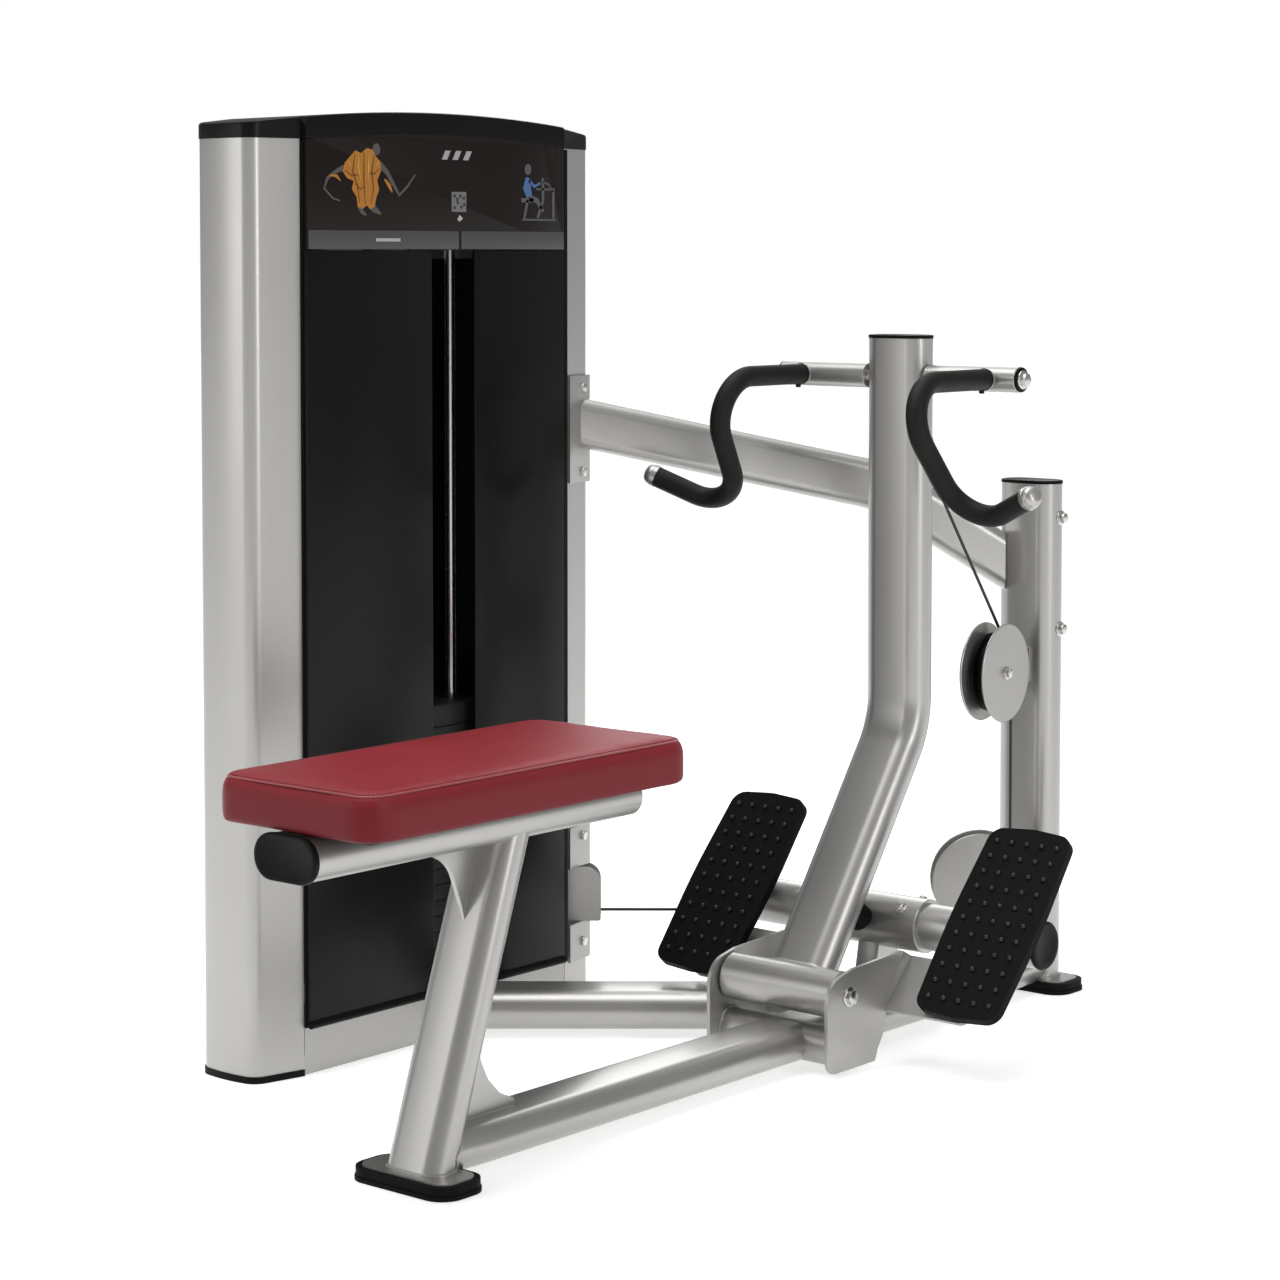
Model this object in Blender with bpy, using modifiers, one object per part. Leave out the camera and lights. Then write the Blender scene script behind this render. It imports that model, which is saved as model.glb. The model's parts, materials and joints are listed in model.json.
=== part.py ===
"""Seated cable row machine: weight tower, seat, foot plates, lever arm and cable drive.

Metres, +Z up. The machine is laid out from the seat foot: X runs along the rowing axis from the
seat towards the rear upright, Y runs from the rower's centre line towards the weight tower.
The whole machine hangs from one empty, which moves the centre of its footprint to the origin.
"""
import math

import bmesh
import bpy
from mathutils import Matrix, Vector

# ---- driving dimensions -------------------------------------------------------------------
FOOTPRINT_CENTRE = Vector((0.6448, 0.1459, 0.0))  # seat-foot coordinates of the machine's origin
GAP = 0.0004                   # clearance between pieces that touch
OVAL_STEPS = 6                 # facets round each end of a flat-oval section

# flat-oval frame tubes: width across, thickness
SEAT_SECTION = (0.110, 0.058)
POST_SECTION = (0.101, 0.055)
BEAM_SECTION = (0.108, 0.056)
ARM_SECTION = (0.110, 0.058)
UPRIGHT_SECTION = (0.109, 0.058)
BASE_LINK_SECTION = (0.116, 0.062)
UPPER_LINK_SECTION = (0.116, 0.066)

# seat
SEAT_TUBE_X = (-0.232, 0.400)
SEAT_TUBE_Z = 0.471
POST_LEAN = math.radians(19.0)
PAD_X = (-0.236, 0.407)
PAD_HALF_WIDTH = 0.150
PAD_Z = (0.5010, 0.566)
BOARD_THICKNESS = 0.012
BOARD_MARGIN = 0.022           # the pad's skirt covers the board's edge

# floor frame
BEAM_Z = 0.040
PIVOT = Vector((0.810, 0.0, 0.120))
PIVOT_TUBE_RADIUS = 0.036
PLATE_INNER = 0.109            # half distance between the two pivot plates
PLATE_THICKNESS = 0.006
UPRIGHT_X = 1.483
UPRIGHT_TOP = 0.850
FOOT_HALF_LENGTH = 0.092
FOOT_HALF_WIDTH = 0.046
FOOT_CORNER = 0.033
FOOT_HEIGHT = 0.018
FRONT_FOOT_X = 0.000

# lever arm
ARM_TOP = Vector((1.101, 0.0, 1.100))
ARM_BEND = Vector((1.101, 0.0, 0.488))
ARM_BOTTOM = Vector((0.836, 0.0, 0.117))
ARM_BEND_RADIUS = 0.15
CROSSBAR = Vector((1.098, 0.0, 1.040))
SLEEVE_RADIUS = 0.0198
SLEEVE_Y = (0.0575, 0.2255)
HANDLE_Y = 0.176
HANDLE_TUBE_RADIUS = 0.0125
GRIP_RADIUS = 0.0164
HANDLE_CORNERS = (Vector((1.098, 0.176, 1.040)), Vector((0.826, 0.176, 1.040)),
                  Vector((0.977, 0.215, 0.813)), Vector((0.920, 0.362, 0.878)))
HANDLE_BEND_RADIUS = 0.062
GRIP_START = 0.024             # where the grip begins, from the crossbar's axis
GRIP_END = 0.012               # where the grip stops, short of the tube's end

# foot rests
FOOTREST_AXIS = Vector((1.045, 0.0, 0.185))
FOOTREST_RADIUS = 0.036
FOOTREST_HALF = 0.313
FOOT_PLATE_LOW = Vector((0.880, 0.0, 0.097))
FOOT_PLATE_HIGH = Vector((1.102, 0.0, 0.348))
FOOT_PLATE_Y = (0.177, 0.329)
FOOT_PAD_THICKNESS = 0.014
TRAY_THICKNESS = 0.006

# cable drive
CABLE_RADIUS = 0.0025
CABLE_TURN = 0.0500            # radius of the cable's centre line round a pulley
UPPER_TURN = 0.0580            # the same round the large upper pulley
TOWER_TURN = 0.0360            # the same round the small pulley at the tower
PULLEY_LIP = 0.0060            # how far a pulley's rim stands beyond the cable's centre line
PULLEY_HALF_WIDTH = 0.0115
GUARD_RADIUS = 0.0805
GUARD_HALF_GAP = 0.0180
GUARD_THICKNESS = 0.0040
UPPER_PULLEY = Vector((1.3343, -0.0256, 0.548))
UPPER_YAW = math.radians(5.5)
LOWER_PULLEY = Vector((1.360, 0.018, 0.1946))
LOWER_YAW = math.radians(-50.0)
TOWER_PULLEY_RUN = 0.685       # distance between the lower pulley and the tower pulley
ANCHOR = Vector((1.183, -0.004, 0.880))

# weight tower
TOWER_X = 0.578
TOWER_Y = 0.585
COVER_HALF = 0.296             # inner edges of the side covers, from the tower's centre
COVER_BOTTOM = 0.006
COVER_TOP = 1.403
COVER_SKIN = 0.003
FASCIA_X = (0.283, 0.860)
FASCIA_Y = 0.495
RAIL_Y = 0.5085                # front of the tower's base rail
PANEL_Z = (0.078, 1.2385)
PLACARD_BASE = 1.2392
PLACARD_DROP = 0.034           # the placard's arched top, below the cap's crown
PANEL_GAP_X = (0.5515, 0.648)
CAP_CROWN = 1.450
CAP_RADIUS = 3.10
STACK = Vector((0.578, 0.5703, 0.0))
ROD_SPACING = 0.0914
ROD_RADIUS = 0.0085
ROD_TOP = 1.255
TOP_PULLEY_Z = 1.325
BRACKET_INNER = 0.3035         # how far round the front the corner plates reach
WEIGHT_SIZE = (0.250, 0.096, 0.0245)
WEIGHT_PITCH = 0.0250
WEIGHT_BASE = 0.115
RESTING_PLATES = 13
LIFTED_PLATES = 2

SILVER = ("silver_paint", (0.47, 0.46, 0.44), 0.32, 0.55)
GREY = ("plate_paint", (0.45, 0.44, 0.42), 0.38, 0.45)
STEEL = ("bright_steel", (0.62, 0.61, 0.59), 0.22, 1.0)
BLACK = ("black_plastic", (0.012, 0.012, 0.012), 0.45, 0.0)
PANEL = ("smoked_panel", (0.014, 0.014, 0.013), 0.28, 0.0)
RUBBER = ("black_rubber", (0.010, 0.010, 0.010), 0.75, 0.0)
VINYL = ("red_vinyl", (0.26, 0.025, 0.03), 0.48, 0.0)
WOOD = ("board", (0.05, 0.04, 0.035), 0.7, 0.0)
IRON = ("cast_weight", (0.02, 0.02, 0.02), 0.55, 0.3)
PLACARD = ("placard", (0.022, 0.015, 0.014), 0.35, 0.0)

# ---- an empty file, its collections and the machine's root ----------------------------------
for old in list(bpy.data.objects):
    bpy.data.objects.remove(old, do_unlink=True)
machine = bpy.data.collections.new("seated_cable_row")
bpy.context.scene.collection.children.link(machine)


def empty(name, at, parent=None):
    """A plain-axes empty at a place in seat-foot coordinates."""
    marker = bpy.data.objects.new(name, None)
    machine.objects.link(marker)
    if parent is None:
        marker.location = at
    else:
        marker.parent = parent
        marker.location = Vector(at) - Vector(parent["place"])
    marker["place"] = tuple(at) if parent else (0.0, 0.0, 0.0)
    return marker


root = empty("machine_root", -FOOTPRINT_CENTRE)


def material(finish):
    """The Principled material of a finish, made once."""
    name, colour, roughness, metallic = finish
    found = bpy.data.materials.get(name)
    if found:
        return found
    made = bpy.data.materials.new(name)
    made.use_nodes = True
    shader = made.node_tree.nodes["Principled BSDF"]
    shader.inputs["Base Color"].default_value = (*colour, 1.0)
    shader.inputs["Roughness"].default_value = roughness
    shader.inputs["Metallic"].default_value = metallic
    return made


# ---- making and changing solids -----------------------------------------------------------
def solid(name, bm):
    """A loose mesh object from a bmesh."""
    bmesh.ops.recalc_face_normals(bm, faces=bm.faces)
    mesh = bpy.data.meshes.new(name)
    bm.to_mesh(mesh)
    bm.free()
    made = bpy.data.objects.new(name, mesh)
    machine.objects.link(made)
    return made


def bake(piece):
    """Turn a piece with modifiers, or a curve, into a plain welded mesh."""
    graph = bpy.context.evaluated_depsgraph_get()
    mesh = bpy.data.meshes.new_from_object(piece.evaluated_get(graph))
    mesh.transform(piece.matrix_world)
    bm = bmesh.new()
    bm.from_mesh(mesh)
    bmesh.ops.remove_doubles(bm, verts=bm.verts, dist=0.00001)
    bmesh.ops.dissolve_degenerate(bm, edges=bm.edges, dist=0.00001)
    name = piece.name
    bpy.data.objects.remove(piece, do_unlink=True)
    bpy.data.meshes.remove(mesh)
    return solid(name, bm)


def combine(piece, other, operation):
    """Boolean one loose solid with another, which is used up."""
    step = piece.modifiers.new("combine", "BOOLEAN")
    step.operation = operation
    step.object = other
    bpy.context.view_layer.update()
    made = bake(piece)
    bpy.data.objects.remove(other, do_unlink=True)
    return made


def cut(piece, *tools):
    """Take tools away from a piece."""
    for tool in tools:
        piece = combine(piece, tool, "DIFFERENCE")
    return piece


def weld(piece, *others):
    """Join pieces that are one weldment or one casting."""
    for other in others:
        piece = combine(piece, other, "UNION")
    return piece


def place(piece, name, finish, parent=root):
    """Name a finished piece, paint it and hang it from its body's empty."""
    piece.name = name
    piece.data.name = name
    piece.data.materials.clear()
    piece.data.materials.append(material(finish))
    piece.data.shade_smooth()
    piece.data.set_sharp_from_angle(angle=math.radians(35))
    place_of_parent = Vector(parent["place"])
    piece.parent = parent
    piece.matrix_parent_inverse = Matrix.Translation(-place_of_parent)
    return piece


def block(low, high, bevel=0.0):
    """A box between two corners, with its edges rounded by bevel."""
    low, high = Vector(low), Vector(high)
    bm = bmesh.new()
    bmesh.ops.create_cube(bm, size=1.0)
    bmesh.ops.scale(bm, vec=high - low, verts=bm.verts)
    bmesh.ops.translate(bm, vec=(low + high) / 2, verts=bm.verts)
    if bevel:
        bmesh.ops.bevel(bm, geom=bm.edges[:], offset=bevel, segments=2, affect="EDGES", profile=0.5)
    return solid("block", bm)


def rod(start, end, radius, sides=24, end_radius=None):
    """A cylinder, or a cone, from one point to another."""
    start, end = Vector(start), Vector(end)
    span = end - start
    bm = bmesh.new()
    bmesh.ops.create_cone(bm, cap_ends=True, segments=sides, radius1=radius,
                          radius2=radius if end_radius is None else end_radius, depth=span.length)
    turn = Vector((0, 0, 1)).rotation_difference(span).to_matrix().to_4x4()
    bmesh.ops.transform(bm, matrix=Matrix.Translation((start + end) / 2) @ turn, verts=bm.verts)
    return solid("rod", bm)


def fillet(points, radius, steps=4, closed=True):
    """Round the corners of a polyline; radius is one value or one for each point."""
    count = len(points)
    radii = radius if isinstance(radius, (list, tuple)) else [radius] * count
    rounded = []
    for index, corner in enumerate(points):
        corner = Vector(corner)
        size = radii[index]
        if not size or (not closed and index in (0, count - 1)):
            rounded.append(corner)
            continue
        back = (Vector(points[index - 1]) - corner).normalized()
        ahead = (Vector(points[(index + 1) % count]) - corner).normalized()
        half = back.angle(ahead) / 2
        centre = corner + (back + ahead).normalized() * (size / math.sin(half))
        first = corner + back * (size / math.tan(half))
        last = corner + ahead * (size / math.tan(half))
        for step in range(steps + 1):
            sweep = math.pi - 2 * half
            start_arm = first - centre
            side = (last - centre - start_arm * math.cos(sweep)) / math.sin(sweep)
            angle = sweep * step / steps
            arm = start_arm * math.cos(angle) + side * math.sin(angle)
            rounded.append(centre + arm)
    return rounded


def plate(outline, thickness, at, across, up):
    """A flat plate: a 2D outline, filled and extruded, with its middle at a point."""
    curve = bpy.data.curves.new("plate", "CURVE")
    curve.dimensions = "2D"
    curve.fill_mode = "BOTH"
    curve.extrude = thickness / 2
    spline = curve.splines.new("POLY")
    spline.points.add(len(outline) - 1)
    for point, (x, y) in zip(spline.points, [tuple(p)[:2] for p in outline]):
        point.co = (x, y, 0.0, 1.0)
    spline.use_cyclic_u = True
    made = bpy.data.objects.new("plate", curve)
    machine.objects.link(made)
    across, up = Vector(across).normalized(), Vector(up).normalized()
    basis = Matrix((across, up, across.cross(up))).transposed().to_4x4()
    made.matrix_world = Matrix.Translation(at) @ basis
    bpy.context.view_layer.update()
    return bake(made)


def oval(wide, thick, steps=OVAL_STEPS):
    """Points of a flat-oval section, in its own width and thickness directions."""
    radius = thick / 2
    reach = wide / 2 - radius
    points = []
    for side in (1, -1):
        for step in range(steps + 1):
            angle = math.radians(-90 + 180 * step / steps) if side > 0 else math.radians(
                90 + 180 * step / steps)
            points.append((side * reach + radius * math.cos(angle), radius * math.sin(angle)))
    return points


def circle(radius, sides=16):
    """Points of a round section."""
    return [(radius * math.cos(2 * math.pi * k / sides), radius * math.sin(2 * math.pi * k / sides))
            for k in range(sides)]


def sweep(path, section, wide_axis=None):
    """Carry a section along a path. The section's width stays on wide_axis where one is given."""
    path = [Vector(p) for p in path]
    bm = bmesh.new()
    rings = []
    side = None
    for index, point in enumerate(path):
        before = (point - path[index - 1]).normalized() if index else None
        after = (path[index + 1] - point).normalized() if index + 1 < len(path) else None
        tangent = ((before or after) + (after or before)).normalized()
        stretch = 1.0
        if before and after:
            stretch = 1.0 / max(0.3, math.cos(before.angle(after) / 2))
        if wide_axis is not None:
            side = Vector(wide_axis).normalized()
        elif side is None:
            side = tangent.orthogonal().normalized()
        else:
            side = (side - tangent * side.dot(tangent)).normalized()
        other = tangent.cross(side).normalized()
        turn = (after - before) if before and after and stretch > 1.0001 else None
        ring = []
        for across, along in section:
            offset = side * across + other * along
            if turn is not None:
                inward = turn.normalized()
                offset += inward * offset.dot(inward) * (stretch - 1.0)
            ring.append(bm.verts.new(point + offset))
        rings.append(ring)
    count = len(section)
    for ring, following in zip(rings, rings[1:]):
        for k in range(count):
            bm.faces.new((ring[k], ring[(k + 1) % count], following[(k + 1) % count], following[k]))
    bm.faces.new(list(reversed(rings[0])))
    bm.faces.new(rings[-1])
    return solid("sweep", bm)


def oval_tube(corners, section, wide_axis, bend=0.0, steps=8, grow=0.0):
    """A straight or bent flat-oval tube."""
    path = fillet(corners, bend, steps, closed=False) if bend else corners
    return sweep(path, oval(section[0] + 2 * grow, section[1] + 2 * grow), wide_axis)


def turned(profile, at, axis, sides=32):
    """A turned solid: radius and height pairs, spun round an axis through a point."""
    bm = bmesh.new()
    ring = [bm.verts.new((radius, 0.0, height)) for radius, height in profile]
    for k, vert in enumerate(ring):
        bm.edges.new((vert, ring[(k + 1) % len(ring)]))
    mesh = bpy.data.meshes.new("turned")
    bm.to_mesh(mesh)
    bm.free()
    made = bpy.data.objects.new("turned", mesh)
    machine.objects.link(made)
    spin = made.modifiers.new("spin", "SCREW")
    spin.steps = sides
    spin.render_steps = sides
    spin.use_merge_vertices = True
    spin.merge_threshold = 0.00005
    turn = Vector((0, 0, 1)).rotation_difference(Vector(axis)).to_matrix().to_4x4()
    made.matrix_world = Matrix.Translation(at) @ turn
    bpy.context.view_layer.update()
    return bake(made)


def mirrored(piece):
    """A copy of a loose solid on the other side of the rower's centre line."""
    bm = bmesh.new()
    bm.from_mesh(piece.data)
    bmesh.ops.scale(bm, vec=(1, -1, 1), verts=bm.verts)
    return solid("mirrored", bm)


X_AXIS, Y_AXIS, Z_AXIS = Vector((1, 0, 0)), Vector((0, 1, 0)), Vector((0, 0, 1))


# ---- seat ------------------------------------------------------------------------------------
def seat_tube_solid(grow=0.0):
    ends = [Vector((x, 0, SEAT_TUBE_Z)) for x in SEAT_TUBE_X]
    return oval_tube(ends, SEAT_SECTION, Y_AXIS, grow=grow)


def post_axis(height):
    """A point on the seat post's centre line."""
    return Vector((height * math.tan(POST_LEAN), 0, height))


def post_solid(low, high, grow=0.0):
    return oval_tube([post_axis(low), post_axis(high)], POST_SECTION, Y_AXIS, grow=grow)


def foot_outline(grow=0.0):
    """The racetrack outline of a floor foot, long across the machine."""
    half, wide = FOOT_HALF_LENGTH + grow, FOOT_HALF_WIDTH + grow
    corners = [(-wide, -half), (wide, -half), (wide, half), (-wide, half)]
    return fillet([Vector((x, y, 0)) for x, y in corners], FOOT_CORNER + grow, 6)


def foot_space(at_x):
    """The room that a foot and its sole plate take up, for cutting their neighbours."""
    return plate(foot_outline(GAP), 2 * (FOOT_HEIGHT + GAP), (at_x, 0, 0), X_AXIS, Y_AXIS)


def foot_steel(at_x):
    """The steel sole plate welded under a post."""
    return plate(foot_outline(-0.008), 0.006, (at_x, 0, 0.0115), X_AXIS, Y_AXIS)


def foot_rubber(at_x):
    """The rubber shoe: a tray that the sole plate sits in."""
    shoe = plate(foot_outline(), FOOT_HEIGHT, (at_x, 0, FOOT_HEIGHT / 2), X_AXIS, Y_AXIS)
    pocket = plate(foot_outline(-0.0076), 0.020, (at_x, 0, 0.0181), X_AXIS, Y_AXIS)
    return cut(shoe, pocket)


def board_solid(base, grow=0.0):
    """The plywood board, or with grow the recess for it in the pad's underside."""
    inset = BOARD_MARGIN - grow
    top = SEAT_TUBE_Z + SEAT_SECTION[1] / 2 + GAP + BOARD_THICKNESS + grow
    return block((PAD_X[0] + inset, inset - PAD_HALF_WIDTH, base),
                 (PAD_X[1] - inset, PAD_HALF_WIDTH - inset, top))


def make_seat():
    tube = seat_tube_solid()
    place(tube, "seat_tube", SILVER)
    half_wide, half_thick = SEAT_SECTION[0] / 2, SEAT_SECTION[1] / 2
    face = SEAT_TUBE_X[0] - GAP
    cap = sweep([Vector((face, 0, SEAT_TUBE_Z)), Vector((face - 0.007, 0, SEAT_TUBE_Z))],
                oval(2 * half_wide + 0.002, 2 * half_thick + 0.002), Y_AXIS)
    place(cap, "seat_tube_front_cap", BLACK)

    post = cut(post_solid(-0.03, 0.50), block((-0.3, -0.2, -0.2), (0.4, 0.2, 0.0120)),
               seat_tube_solid(GAP), block((-0.3, -0.2, SEAT_TUBE_Z), (0.5, 0.2, 0.7)))
    underside = SEAT_TUBE_Z - half_thick - GAP
    nose = [(0.008, underside), (0.060, underside - 0.028), (0.085, underside - 0.085),
            (0.093, 0.318), (0.150, 0.318), (0.170, underside)]
    front_gusset = plate([Vector((x, z, 0)) for x, z in nose], 0.007, (0, 0, 0), X_AXIS, Z_AXIS)
    top = BEAM_Z + BEAM_SECTION[1] / 2 + GAP
    heel = [(0.020, top), (0.186, top), (0.186, 0.078), (0.158, 0.090), (0.134, 0.114),
            (0.118, 0.146), (0.115, 0.190), (0.050, 0.190)]
    rear_gusset = plate([Vector((x, z, 0)) for x, z in heel], 0.007, (0, 0, 0), X_AXIS, Z_AXIS)
    post = weld(post, foot_steel(FRONT_FOOT_X), front_gusset, rear_gusset)
    place(post, "seat_post", SILVER)
    place(foot_rubber(FRONT_FOOT_X), "front_foot", RUBBER)

    top_of_tube = SEAT_TUBE_Z + half_thick
    place(board_solid(top_of_tube + GAP), "seat_board", WOOD)
    corners = [(PAD_X[0], -PAD_HALF_WIDTH), (PAD_X[1], -PAD_HALF_WIDTH),
               (PAD_X[1], PAD_HALF_WIDTH), (PAD_X[0], PAD_HALF_WIDTH)]
    outline = fillet([Vector((x, y, 0)) for x, y in corners], 0.045, 6)
    pad = plate(outline, PAD_Z[1] - PAD_Z[0], (0, 0, sum(PAD_Z) / 2), X_AXIS, Y_AXIS)
    place(cut(pad, board_solid(top_of_tube - 0.01, GAP)), "seat_pad", VINYL)


# ---- floor frame -------------------------------------------------------------------------------
def beam_solid(start, end, grow=0.0):
    return oval_tube([Vector((start, 0, BEAM_Z)), Vector((end, 0, BEAM_Z))], BEAM_SECTION, Y_AXIS,
                     grow=grow)


def cross_tube_solid(grow=0.0):
    half = PLATE_INNER + 0.002
    return rod((PIVOT.x, -half, BEAM_Z), (PIVOT.x, half, BEAM_Z), 0.029 + grow)


def pivot_plate(side):
    """A side plate of the pivot bracket, with its rear flange turned outwards."""
    corners = [(0.757, 0.009), (0.878, 0.009), (0.886, 0.028), (0.899, 0.046), (0.906, 0.081),
               (0.978, 0.152), (0.950, 0.166), (0.822, 0.160), (0.757, 0.146)]
    radii = [0.020, 0.004, 0.008, 0.004, 0.0, 0.0, 0.008, 0.020, 0.040]
    outline = fillet([Vector((x, z, 0)) for x, z in corners], radii, 4)
    middle = side * (PLATE_INNER + PLATE_THICKNESS / 2)
    sheet = plate(outline, PLATE_THICKNESS, (0, middle, 0), X_AXIS, Z_AXIS)
    low, high = Vector((0.908, 0, 0.083)), Vector((0.976, 0, 0.150))
    run = high - low
    centre = (low + high) / 2
    inner, outer = PLATE_INNER + 0.001, 0.262
    flange = plate([Vector((-run.length / 2, inner, 0)), Vector((run.length / 2, inner, 0)),
                    Vector((run.length / 2, outer, 0)), Vector((-run.length / 2, outer, 0))],
                   PLATE_THICKNESS, centre, run, Y_AXIS)
    if side < 0:
        flange = mirror_and_remove(flange)
    return weld(sheet, flange)


def mirror_and_remove(piece):
    made = mirrored(piece)
    bpy.data.objects.remove(piece, do_unlink=True)
    return made


def upright_solid(low, high, grow=0.0):
    return oval_tube([Vector((UPRIGHT_X, 0, low)), Vector((UPRIGHT_X, 0, high))], UPRIGHT_SECTION,
                     Y_AXIS, grow=grow)


def base_link_corners():
    """The low tube from the tower's base to the beam, in plan at forty degrees to the beam."""
    return [Vector((0.571, 0.600, BEAM_Z)), Vector((1.090, -0.018, BEAM_Z))]


def upper_link_corners():
    return [Vector((0.935, 0.561, 0.9570)), Vector((1.3137, 0.1847, 0.8445)),
            Vector((1.4800, 0.0200, 0.7035))]


def link_axis(corners):
    """The horizontal direction across a link tube."""
    along = (corners[-1] - corners[0]).normalized()
    return along.cross(Z_AXIS).normalized()


def make_floor_frame():
    front = cut(beam_solid(-0.02, PIVOT.x), post_solid(-0.03, 0.3, GAP), cross_tube_solid(GAP),
                foot_space(FRONT_FOOT_X), block((-0.2, -0.2, 0.0), (0.012, 0.2, 0.3)))
    front = largest(front)
    place(front, "floor_beam", SILVER)

    bracket = weld(cross_tube_solid(), pivot_plate(1), pivot_plate(-1))
    hole = rod((PIVOT.x, -0.2, PIVOT.z), (PIVOT.x, 0.2, PIVOT.z), 0.0090, 20)
    place(cut(bracket, hole), "pivot_bracket", GREY)

    rear = cut(beam_solid(PIVOT.x, 1.47), cross_tube_solid(GAP), upright_solid(-0.1, 0.3, GAP),
               foot_space(UPRIGHT_X))
    link = base_link_corners()
    side_tube = cut(oval_tube(link, BASE_LINK_SECTION, link_axis(link)), beam_solid(0.85, 1.5, GAP),
                    block((0.8, -0.3, -0.1), (1.4, 0.030, 0.2)),
                    block((0.3, RAIL_Y - GAP, -0.1), (1.0, 0.8, 0.2)))
    side_tube = largest(side_tube)
    place(side_tube, "base_link", SILVER)
    place(largest(rear), "rear_beam", SILVER)

    upright = cut(upright_solid(-0.02, UPRIGHT_TOP), block((1.3, -0.2, -0.2), (1.7, 0.2, 0.0120)))
    upright = weld(upright, foot_steel(UPRIGHT_X))
    for height in (0.607, 0.793):
        edge = UPRIGHT_SECTION[0] / 2
        upright = weld(upright, rod((UPRIGHT_X + 0.004, 0.002 - edge, height),
                                    (UPRIGHT_X + 0.004, -0.011 - edge, height), 0.0090, 6))
    place(upright, "rear_upright", SILVER)
    place(foot_rubber(UPRIGHT_X), "rear_foot", RUBBER)
    cap = sweep([Vector((UPRIGHT_X, 0, UPRIGHT_TOP + GAP)), Vector((UPRIGHT_X, 0, UPRIGHT_TOP + 0.005))],
                oval(UPRIGHT_SECTION[0] + 0.002, UPRIGHT_SECTION[1] + 0.002), Y_AXIS)
    place(cap, "upright_cap", BLACK)


def largest(piece):
    """Keep the largest of the loose bodies that a cut leaves."""
    bm = bmesh.new()
    bm.from_mesh(piece.data)
    bm.verts.ensure_lookup_table()
    seen, groups = set(), []
    for vert in bm.verts:
        if vert in seen:
            continue
        stack, group = [vert], []
        seen.add(vert)
        while stack:
            current = stack.pop()
            group.append(current)
            for edge in current.link_edges:
                other = edge.other_vert(current)
                if other not in seen:
                    seen.add(other)
                    stack.append(other)
        groups.append(group)
    keep = max(groups, key=len)
    bmesh.ops.delete(bm, geom=[v for g in groups if g is not keep for v in g], context="VERTS")
    bpy.data.objects.remove(piece, do_unlink=True)
    return solid("kept", bm)


# ---- lever arm, crossbar and handles ---------------------------------------------------------
arm_pivot = empty("arm_pivot", PIVOT, root)


def make_arm():
    tube = rod((PIVOT.x, -0.1045, PIVOT.z), (PIVOT.x, 0.1045, PIVOT.z), PIVOT_TUBE_RADIUS, 32)
    bore = rod((PIVOT.x, -0.2, PIVOT.z), (PIVOT.x, 0.2, PIVOT.z), 0.0090, 20)
    place(cut(tube, bore), "pivot_tube", SILVER, arm_pivot)

    arm = oval_tube([ARM_BOTTOM, ARM_BEND, ARM_TOP], ARM_SECTION, Y_AXIS, ARM_BEND_RADIUS, 8)
    clear = rod((PIVOT.x, -0.2, PIVOT.z), (PIVOT.x, 0.2, PIVOT.z), PIVOT_TUBE_RADIUS + GAP, 32)
    cross = rod((CROSSBAR.x, -0.2, CROSSBAR.z), (CROSSBAR.x, 0.2, CROSSBAR.z), 0.0112 + GAP, 20)
    place(largest(cut(arm, clear, cross)), "lever_arm", SILVER, arm_pivot)

    cap = sweep([ARM_TOP + Vector((0, 0, GAP)), ARM_TOP + Vector((0, 0, 0.005))],
                oval(ARM_SECTION[0] + 0.002, ARM_SECTION[1] + 0.002), Y_AXIS)
    place(cap, "arm_cap", BLACK, arm_pivot)

    reach = SLEEVE_Y[1]
    bar = rod(CROSSBAR - Y_AXIS * (reach + 0.002), CROSSBAR + Y_AXIS * (reach + 0.002), 0.0112, 20)
    for side in (1, -1):
        washer = rod(CROSSBAR + Y_AXIS * side * (reach + 0.001),
                     CROSSBAR + Y_AXIS * side * (reach + 0.004), 0.0165, 20)
        nut = rod(CROSSBAR + Y_AXIS * side * (reach + 0.003),
                  CROSSBAR + Y_AXIS * side * (reach + 0.012), 0.0095, 6)
        bar = weld(bar, washer, nut)
    place(bar, "crossbar", STEEL, arm_pivot)

    face = ARM_TOP.x + ARM_SECTION[1] / 2 + GAP
    lug = [(face, 0.855), (face + 0.046, 0.864), (face + 0.063, 0.890), (face + 0.063, 0.938),
           (face + 0.036, 0.966), (face, 0.976)]
    radii = [0.0, 0.012, 0.012, 0.018, 0.012, 0.0]
    outline = fillet([Vector((x, z, 0)) for x, z in lug], radii, 4)
    anchor = plate(outline, 0.008, (0, ANCHOR.y + 0.008, 0), X_AXIS, Z_AXIS)
    eye = rod(ANCHOR + Vector((-0.002, -0.006, 0.004)), ANCHOR + Vector((-0.002, 0.018, 0.004)),
              0.010, 16)
    place(weld(anchor, eye), "cable_anchor", GREY, arm_pivot)


def handle_path():
    return fillet(HANDLE_CORNERS, HANDLE_BEND_RADIUS, 8, closed=False)


def trimmed(path, start, end):
    """The stretch of a path between two distances, the second measured back from its end."""
    lengths = [0.0]
    for a, b in zip(path, path[1:]):
        lengths.append(lengths[-1] + (b - a).length)
    stop = lengths[-1] - end

    def at(distance):
        for k in range(len(path) - 1):
            if distance <= lengths[k + 1] + 1e-9:
                share = (distance - lengths[k]) / (lengths[k + 1] - lengths[k])
                return path[k].lerp(path[k + 1], share)
        return path[-1]

    middle = [p for p, d in zip(path, lengths) if start + 0.001 < d < stop - 0.001]
    return [at(start), *middle, at(stop)]


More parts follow.
